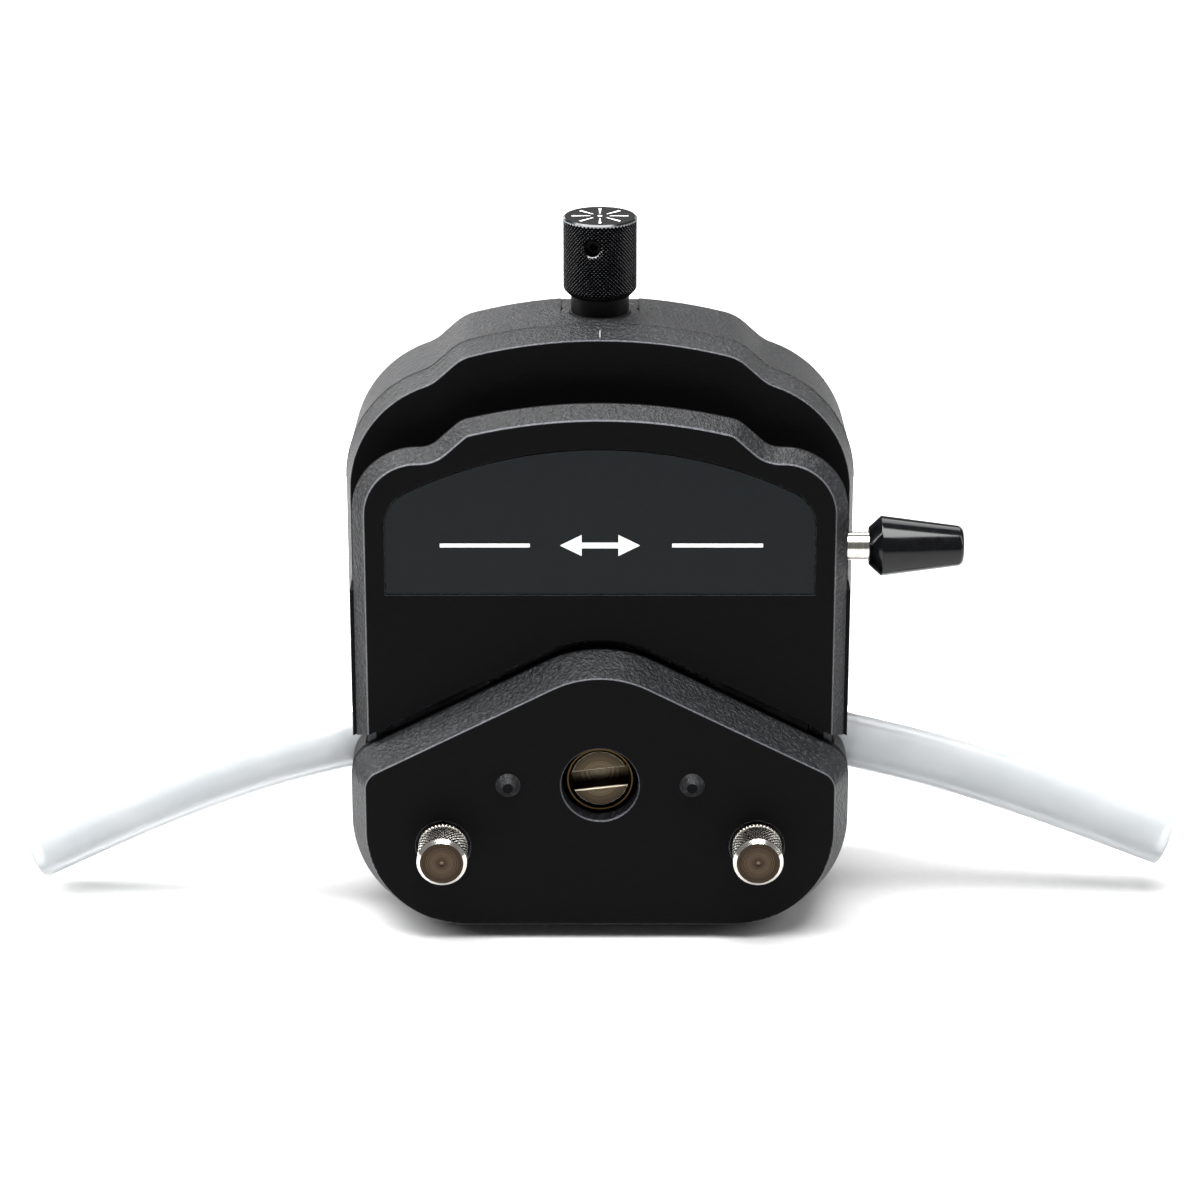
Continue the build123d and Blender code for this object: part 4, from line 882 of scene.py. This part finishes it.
# what is printed on the panel: two rules, and an arrow both ways for the flow between them
printSet = {
    "height": 50.4,
    "ruleThick": 0.85,
    "rules": ((-33.1, -14.5), (14.9, 33.7)),
    "arrowHalf": 8.2,
    "headLong": 4.4,
    "headHalf": 2.3,
    "shaftThick": 1.25,
    "inkMm": 0.04,
    "corner": 0.1,
}


def printBlock(name, x0, x1, thick, face):
    deselectAll()
    bpy.ops.mesh.primitive_cube_add(size=1, location=((x0 + x1) / 2 * mm, face, printSet["height"] * mm),
                                    scale=((x1 - x0) * mm, printSet["inkMm"] * mm, thick * mm))
    block = editNew(name)
    bpy.ops.object.mode_set(mode="OBJECT")
    applyPlace(block)
    bpy.ops.object.mode_set(mode="EDIT")
    return block


def makePrint():
    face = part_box("label_plate")[0].y
    blocks = []
    for number, (x0, x1) in enumerate(printSet["rules"]):
        block = printBlock(f"rule{number}", x0, x1, printSet["ruleThick"], face)
        breakEdges(block, lambda middle, edge: abs(edge.verts[0].co.y - edge.verts[1].co.y) > 0.01 * mm,
                   printSet["corner"], 2)
        blocks.append(block)
    half, head = printSet["arrowHalf"], printSet["headLong"]
    for side in (-1, 1):
        x0, x1 = sorted((0, side * (half - head)))
        block = printBlock(f"arrow{side}", x0, x1, printSet["shaftThick"], face)
        pick(block, lambda middle, face: face.normal.x * side > 0.9)
        bpy.ops.mesh.extrude_region_move(TRANSFORM_OT_translate={"value": (0, 0, 0)})
        wide = 2 * printSet["headHalf"] / printSet["shaftThick"]
        bpy.ops.transform.resize(value=(1, 1, wide), center_override=(0, face, printSet["height"] * mm))
        bpy.ops.mesh.extrude_region_move(TRANSFORM_OT_translate={"value": (side * head * mm, 0, 0)})
        bpy.ops.transform.resize(value=(1, 1, 0.02), center_override=(0, face, printSet["height"] * mm))
        blocks.append(block)
    bpy.ops.object.mode_set(mode="OBJECT")
    deselectAll()
    for block in blocks:
        block.select_set(True)
    bpy.context.view_layer.objects.active = blocks[0]
    bpy.ops.object.join()
    blocks[0].name = "panelPrint"
    finishPiece(blocks[0], "jaw", screenInk("screenInk"))


tubeSet = {
    "outside": 11.4,
    "wall": 2.5,
    "plane": -25.0,
    "start": 53.6,
    "step": 11.4,
    "leftDrops": (0.0, 2.737, 6.4, 10.7, 15.6, 21.0, 26.5),
    "rightDrops": (0.0, 2.737, 6.1, 10.0, 14.2, 18.7, 23.3),
    "leftLength": 73.55,
    "rightLength": 72.35,
}


def makeTube(name, side, drops, node, silicone):
    data = bpy.data.curves.new(name + "Line", "CURVE")
    data.dimensions = "3D"
    spline = data.splines.new("NURBS")
    points = [(side * (tubeSet["start"] + k * tubeSet["step"]) * mm, tubeSet["plane"] * mm, -drop * mm)
              for k, drop in enumerate(drops)]
    spline.points.add(len(points) - 1)
    for point, place in zip(spline.points, points):
        point.co = (*place, 1)
    spline.order_u = 3
    spline.use_endpoint_u = True
    data.resolution_u = 10
    line = bpy.data.objects.new(name + "Line", data)
    scene.collection.objects.link(line)
    bpy.context.view_layer.update()
    path = [tuple(v.co) for v in bpy.data.meshes.new_from_object(line).vertices]
    data.bevel_depth = tubeSet["outside"] / 2 * mm
    data.bevel_resolution = 12
    deselectAll()
    line.select_set(True)
    bpy.context.view_layer.objects.active = line
    bpy.ops.object.convert(target="MESH")
    piece = bpy.context.object
    piece.name = name
    applyModifier(piece, "SOLIDIFY", {"thickness": tubeSet["wall"] * mm, "offset": -1.0, "use_even_offset": True})
    finishPiece(piece, "base", silicone, (node,), 50)


silicone = extrudedSilicone()
makeTube("tubeLeft", -1, tubeSet["leftDrops"], "tube_left", silicone)
makeTube("tubeRight", 1, tubeSet["rightDrops"], "tube_right", silicone)
makeKnob()
makeThumbScrew("Left", "thumb_screw_left")
makeThumbScrew("Right", "thumb_screw_right")
makeHandle()
makePrint()

# the housing's mould left a thin line of flash where its halves met, and an index line on the recess's lip
seamSet = {
    "plane": -21.5,
    "thick": 0.09,
    "lowest": 20.0,
    "side": 52.3,
    "roundStart": 60.0,
    "indexHalf": 0.16,
    "indexHigh": 0.5,
    "indexDown": 0.75,
    "indexEdge": 0.08,
    "indexFront": -29.4,
    "indexBack": -19.9,
}


def makeSeam(nylon):
    deselectAll()
    source = nodes["jaw_housing"]
    seam = bpy.data.objects.new("partingFlash", source.data.copy())
    scene.collection.objects.link(seam)
    seam.select_set(True)
    bpy.context.view_layer.objects.active = seam
    bpy.ops.object.mode_set(mode="EDIT")
    bpy.ops.mesh.select_all(action="SELECT")
    bpy.ops.mesh.remove_doubles(threshold=0.00001)
    plane = seamSet["plane"] * mm
    low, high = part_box("jaw_housing")

    def onSeam(middle, edge):
        return all(abs(v.co.y - plane) < 0.00002 for v in edge.verts) and all(
            v.co.z > seamSet["lowest"] * mm and (abs(v.co.x) > seamSet["side"] * mm
                                                 or v.co.z > seamSet["roundStart"] * mm) for v in edge.verts)

    count = pick(seam, onSeam, "edges")
    print("seam edges", count)
    bpy.ops.mesh.select_all(action="INVERT")
    bpy.ops.mesh.delete(type="EDGE")
    bpy.ops.mesh.select_all(action="SELECT")
    bpy.ops.mesh.delete(type="ONLY_FACE")
    bpy.ops.object.mode_set(mode="OBJECT")
    bpy.ops.object.convert(target="CURVE")
    seam = bpy.context.object
    seam.data.bevel_depth = seamSet["thick"] * mm
    seam.data.bevel_resolution = 2
    seam.data.use_fill_caps = True
    bpy.ops.object.convert(target="MESH")
    finishPiece(bpy.context.object, "jaw", nylon)
    deselectAll()
    long = seamSet["indexBack"] - seamSet["indexFront"]
    bpy.ops.mesh.primitive_cube_add(
        size=1, location=(0, (seamSet["indexFront"] + seamSet["indexBack"]) / 2 * mm,
                          high.z - seamSet["indexDown"] * mm),
        scale=(2 * seamSet["indexHalf"] * mm, long * mm, seamSet["indexHigh"] * mm))
    line = editNew("indexLine")
    breakEdges(line, lambda middle, edge: middle.z > 0, seamSet["indexEdge"], 2)
    bpy.ops.object.mode_set(mode="OBJECT")
    finishPiece(line, "jaw", screenInk("indexPaint", "727374"))


# the knob's recess is closed by a collar in front and a tab behind, both flush with the housing's crown
collarSet = {
    "half": 8.25,
    "split": -7.2,
    "gap": 0.12,
    "front": -19.6,
    "back": -0.85,
    "bottom": 88.35,
    "tall": 6.0,
    "edge": 0.1,
    "sink": 0.22,
    "boreRadius": 6.5,
    "crownRadius": 108.2,
    "crownTop": 92.1,
    "crownFall": 0.5,
    "crownFront": -21.5,
}


def makeCollar(nylon):
    low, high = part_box("adjust_knob")
    middle = (low.y + high.y) / 2
    pieces = (("recessCollar", collarSet["front"], collarSet["split"] - collarSet["gap"], 0.02),
              ("recessTab", collarSet["split"], collarSet["back"], collarSet["sink"]))
    for name, front, back, sink in pieces:
        deselectAll()
        tall = collarSet["tall"]
        bpy.ops.mesh.primitive_cube_add(
            size=1, location=(0, (front + back) / 2 * mm, (collarSet["bottom"] + tall / 2) * mm),
            scale=(2 * collarSet["half"] * mm, (back - front) * mm, tall * mm))
        block = editNew(name)
        bpy.ops.object.mode_set(mode="OBJECT")
        applyPlace(block)
        if name == "recessCollar":
            # round in front, like the recess
            deselectAll()
            bpy.ops.mesh.primitive_cylinder_add(vertices=96, radius=collarSet["half"] * mm, depth=20 * mm,
                                                location=(0, middle, collarSet["crownTop"] * mm))
            rounder = editNew("rounder")
            pick(rounder, lambda centre, face: face.normal.y > 0.5)
            bpy.ops.transform.translate(value=(0, 10 * mm, 0))
            cutWith(block, rounder, "INTERSECT")
        deselectAll()
        radius = collarSet["crownRadius"] - sink
        depth = -collarSet["crownFront"]
        bpy.ops.mesh.primitive_cone_add(
            vertices=720, radius1=(radius - collarSet["crownFall"]) * mm, radius2=radius * mm, depth=depth * mm,
            location=(0, collarSet["crownFront"] / 2 * mm,
                      (collarSet["crownTop"] - collarSet["crownRadius"]) * mm),
            rotation=(math.pi / 2, 0, 0))
        cutWith(block, editNew("crown"), "INTERSECT")
        deselectAll()
        bpy.ops.mesh.primitive_cylinder_add(vertices=96, radius=collarSet["boreRadius"] * mm, depth=20 * mm,
                                            location=(0, middle, collarSet["crownTop"] * mm))
        cutWith(block, editNew("bore"))
        applyModifier(block, "BEVEL", {"width": collarSet["edge"] * mm, "segments": 2, "limit_method": "ANGLE"})
        finishPiece(block, "jaw", nylon)


housingNylon = mouldedNylon("mouldedNylonHousing", -30.0, 60.0, 1.9, 1.25)
paint(mouldedNylon("mouldedNylonCover", -50.0, 8.7), "front_cover")
paint(mouldedNylon("mouldedNylonPlate", -42.0, 3.55), "jaw_front_plate")
paint(housingNylon, "jaw_housing")
paint(mouldedNylon("mouldedNylonBase", -39.0, 60.0, 0.6), "base_housing")
paint(mouldedNylon("mouldedNylonInner", -80.0, 120.0, 0.6),
      "back_cover", "occlusion_bed", "lower_tube_clamps", "upper_tube_clamps")
makeSeam(housingNylon)
makeCollar(housingNylon)
paint(bakedPanelPaint(), "label_plate")
paint(silicone, "tube_inner")
paint(mouldedRubber(), "rear_seal")
paint(turnedAcetal(), "spindle_washer")

# each metal's colours, the spacing of its lines in millimetres, roughness and relief
metalLooks = {
    # the steel shaft's dark warm brown is a painted reflection
    "shaft": {"code": "6B6356", "dark": "3E3931", "ringMm": 0.5, "roughness": 0.34, "relief": 0.3},
    "bush": {"code": "927E5E", "dark": "776546", "ringMm": 0.3, "roughness": 0.3, "relief": 0.3},
    "ground": {"code": "B4B3B0", "dark": "8C8A86", "ringMm": 0.5, "roughness": 0.3},
    "oxide": {"code": "1A1A1B", "dark": "0E0E0F", "roughness": 0.4},
    "rod": {"code": "DCD9D3", "dark": "BDB9B1", "ringMm": 0.5, "roughness": 0.14, "relief": 0.1},
    "bronze": {"code": "A8854F", "dark": "7A5C33", "ringMm": 0.6, "roughness": 0.4},
    "aluminium": {"code": "C9CACB", "dark": "A9AAAC", "ringMm": 0.6, "roughness": 0.32},
}
# distance from the axis in millimetres, and tint
# the shaft's painted reflection is tinted darker towards its rim, and its edge strip is a painted highlight
shaftReflectionBands = [(0, "FFFFFF"), (2.5, "E0D8CC"), (5.0, "9A938A"), (6.5, "8A8680")]
# the bush is painted dark: painted shade inside its counterbore and a darker painted reflection on its chamfer,
# with a thin ring on its rim left lighter as a painted highlight
bushShadeAndHighlightBands = [(0, "1C1916"), (6.6, "1C1916"), (6.66, "8A8272"), (6.82, "8A8272"), (6.9, "2A251F"), (9, "2A251F")]
shaftEdgeHighlight = (0.2, "D0C4B0")

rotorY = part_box("rotor_shaft")[0].y
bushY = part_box("front_bush")[0].y
paint(turnedSteel("turnedSteelShaft", (0, rotorY, 0), "Y", metalLooks["shaft"], shaftReflectionBands, shaftEdgeHighlight),
      "rotor_shaft")
paint(turnedSteel("turnedBronzeFront", (0, bushY, 0), "Y", metalLooks["bush"], bushShadeAndHighlightBands), "front_bush")
steelNames = ["rear_bearing_outer", "rear_bearing_inner", "rear_bearing_balls", "rotor_spacer", "roller_axles",
              "axle_clips", "crosshead_nuts", "follower_pin", "lift_crosshead", "cover_screws", "jaw_screws",
              "bed_screws", "bed_yoke", "cam_screw", "lever_shaft", "lever_cam", "adjust_spindle",
              "spindle_clip", "guide_posts"]
steelNames += [f"roller_{k}" for k in range(1, 5)]
groundSteel = turnedSteel("groundSteel", (0, 0, 0), "Y", metalLooks["ground"])
paint(groundSteel, *steelNames)
makeBackScrews(groundSteel)
paint(turnedSteel("blackOxideSteel", (0, 0, 0), "Z", metalLooks["oxide"]), "knob_set_screw")
leverLow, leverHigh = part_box("lever_rod")
leverMiddle = (leverLow + leverHigh) / 2
paint(turnedSteel("turnedSteelRod", tuple(leverMiddle), "X", metalLooks["rod"]), "lever_rod")
bronzeNames = ["guide_bushes", "lever_bushes", "spindle_bush", "adjust_nut"]
bronzeNames += [f"roller_bushes_{k}" for k in range(1, 5)]
paint(turnedSteel("sinteredBronze", (0, 0, 0), "Y", metalLooks["bronze"]), *bronzeNames)
paint(turnedSteel("machinedAluminium", (0, 0, 0), "Y", metalLooks["aluminium"]),
      "rotor_flange_front", "rotor_flange_rear")
print("metals painted")

floorSet = {"size": 6.0, "colour": "CDCDCD", "shade": "CACACA", "toothMm": 2.0, "roughness": 0.9}


def addFloor():
    deselectAll()
    bpy.ops.mesh.primitive_plane_add(size=floorSet["size"], location=(0, 0, cadBox[0][2]))
    floor = bpy.context.object
    floor.name = "floor"
    material, tree, shader, place = newMaterial("paperSweep")
    tooth = addNode(tree, "ShaderNodeTexNoise", {},
                    {"Vector": place, "Scale": 1 / (floorSet["toothMm"] * mm), "Detail": 2.0})
    tone = addNode(tree, "ShaderNodeValToRGB", {}, {"Fac": tooth.outputs["Fac"]},
                   [(0.3, colour(floorSet["shade"])), (0.7, colour(floorSet["colour"]))]).outputs["Color"]
    tree.links.new(tone, shader.inputs["Base Color"])
    shader.inputs["Roughness"].default_value = floorSet["roughness"]
    shader.inputs["Specular IOR Level"].default_value = 0.0
    floor.data.materials.append(material)


addFloor()

worldSet = {"strength": 0.2, "colour": "FFFFFF"}
world = bpy.data.worlds.new("studio")
scene.world = world
world.use_nodes = True
world.node_tree.nodes["Background"].inputs["Color"].default_value = colour(worldSet["colour"])
world.node_tree.nodes["Background"].inputs["Strength"].default_value = worldSet["strength"]
scene.view_settings.view_transform = "Standard"

print("scene ready")
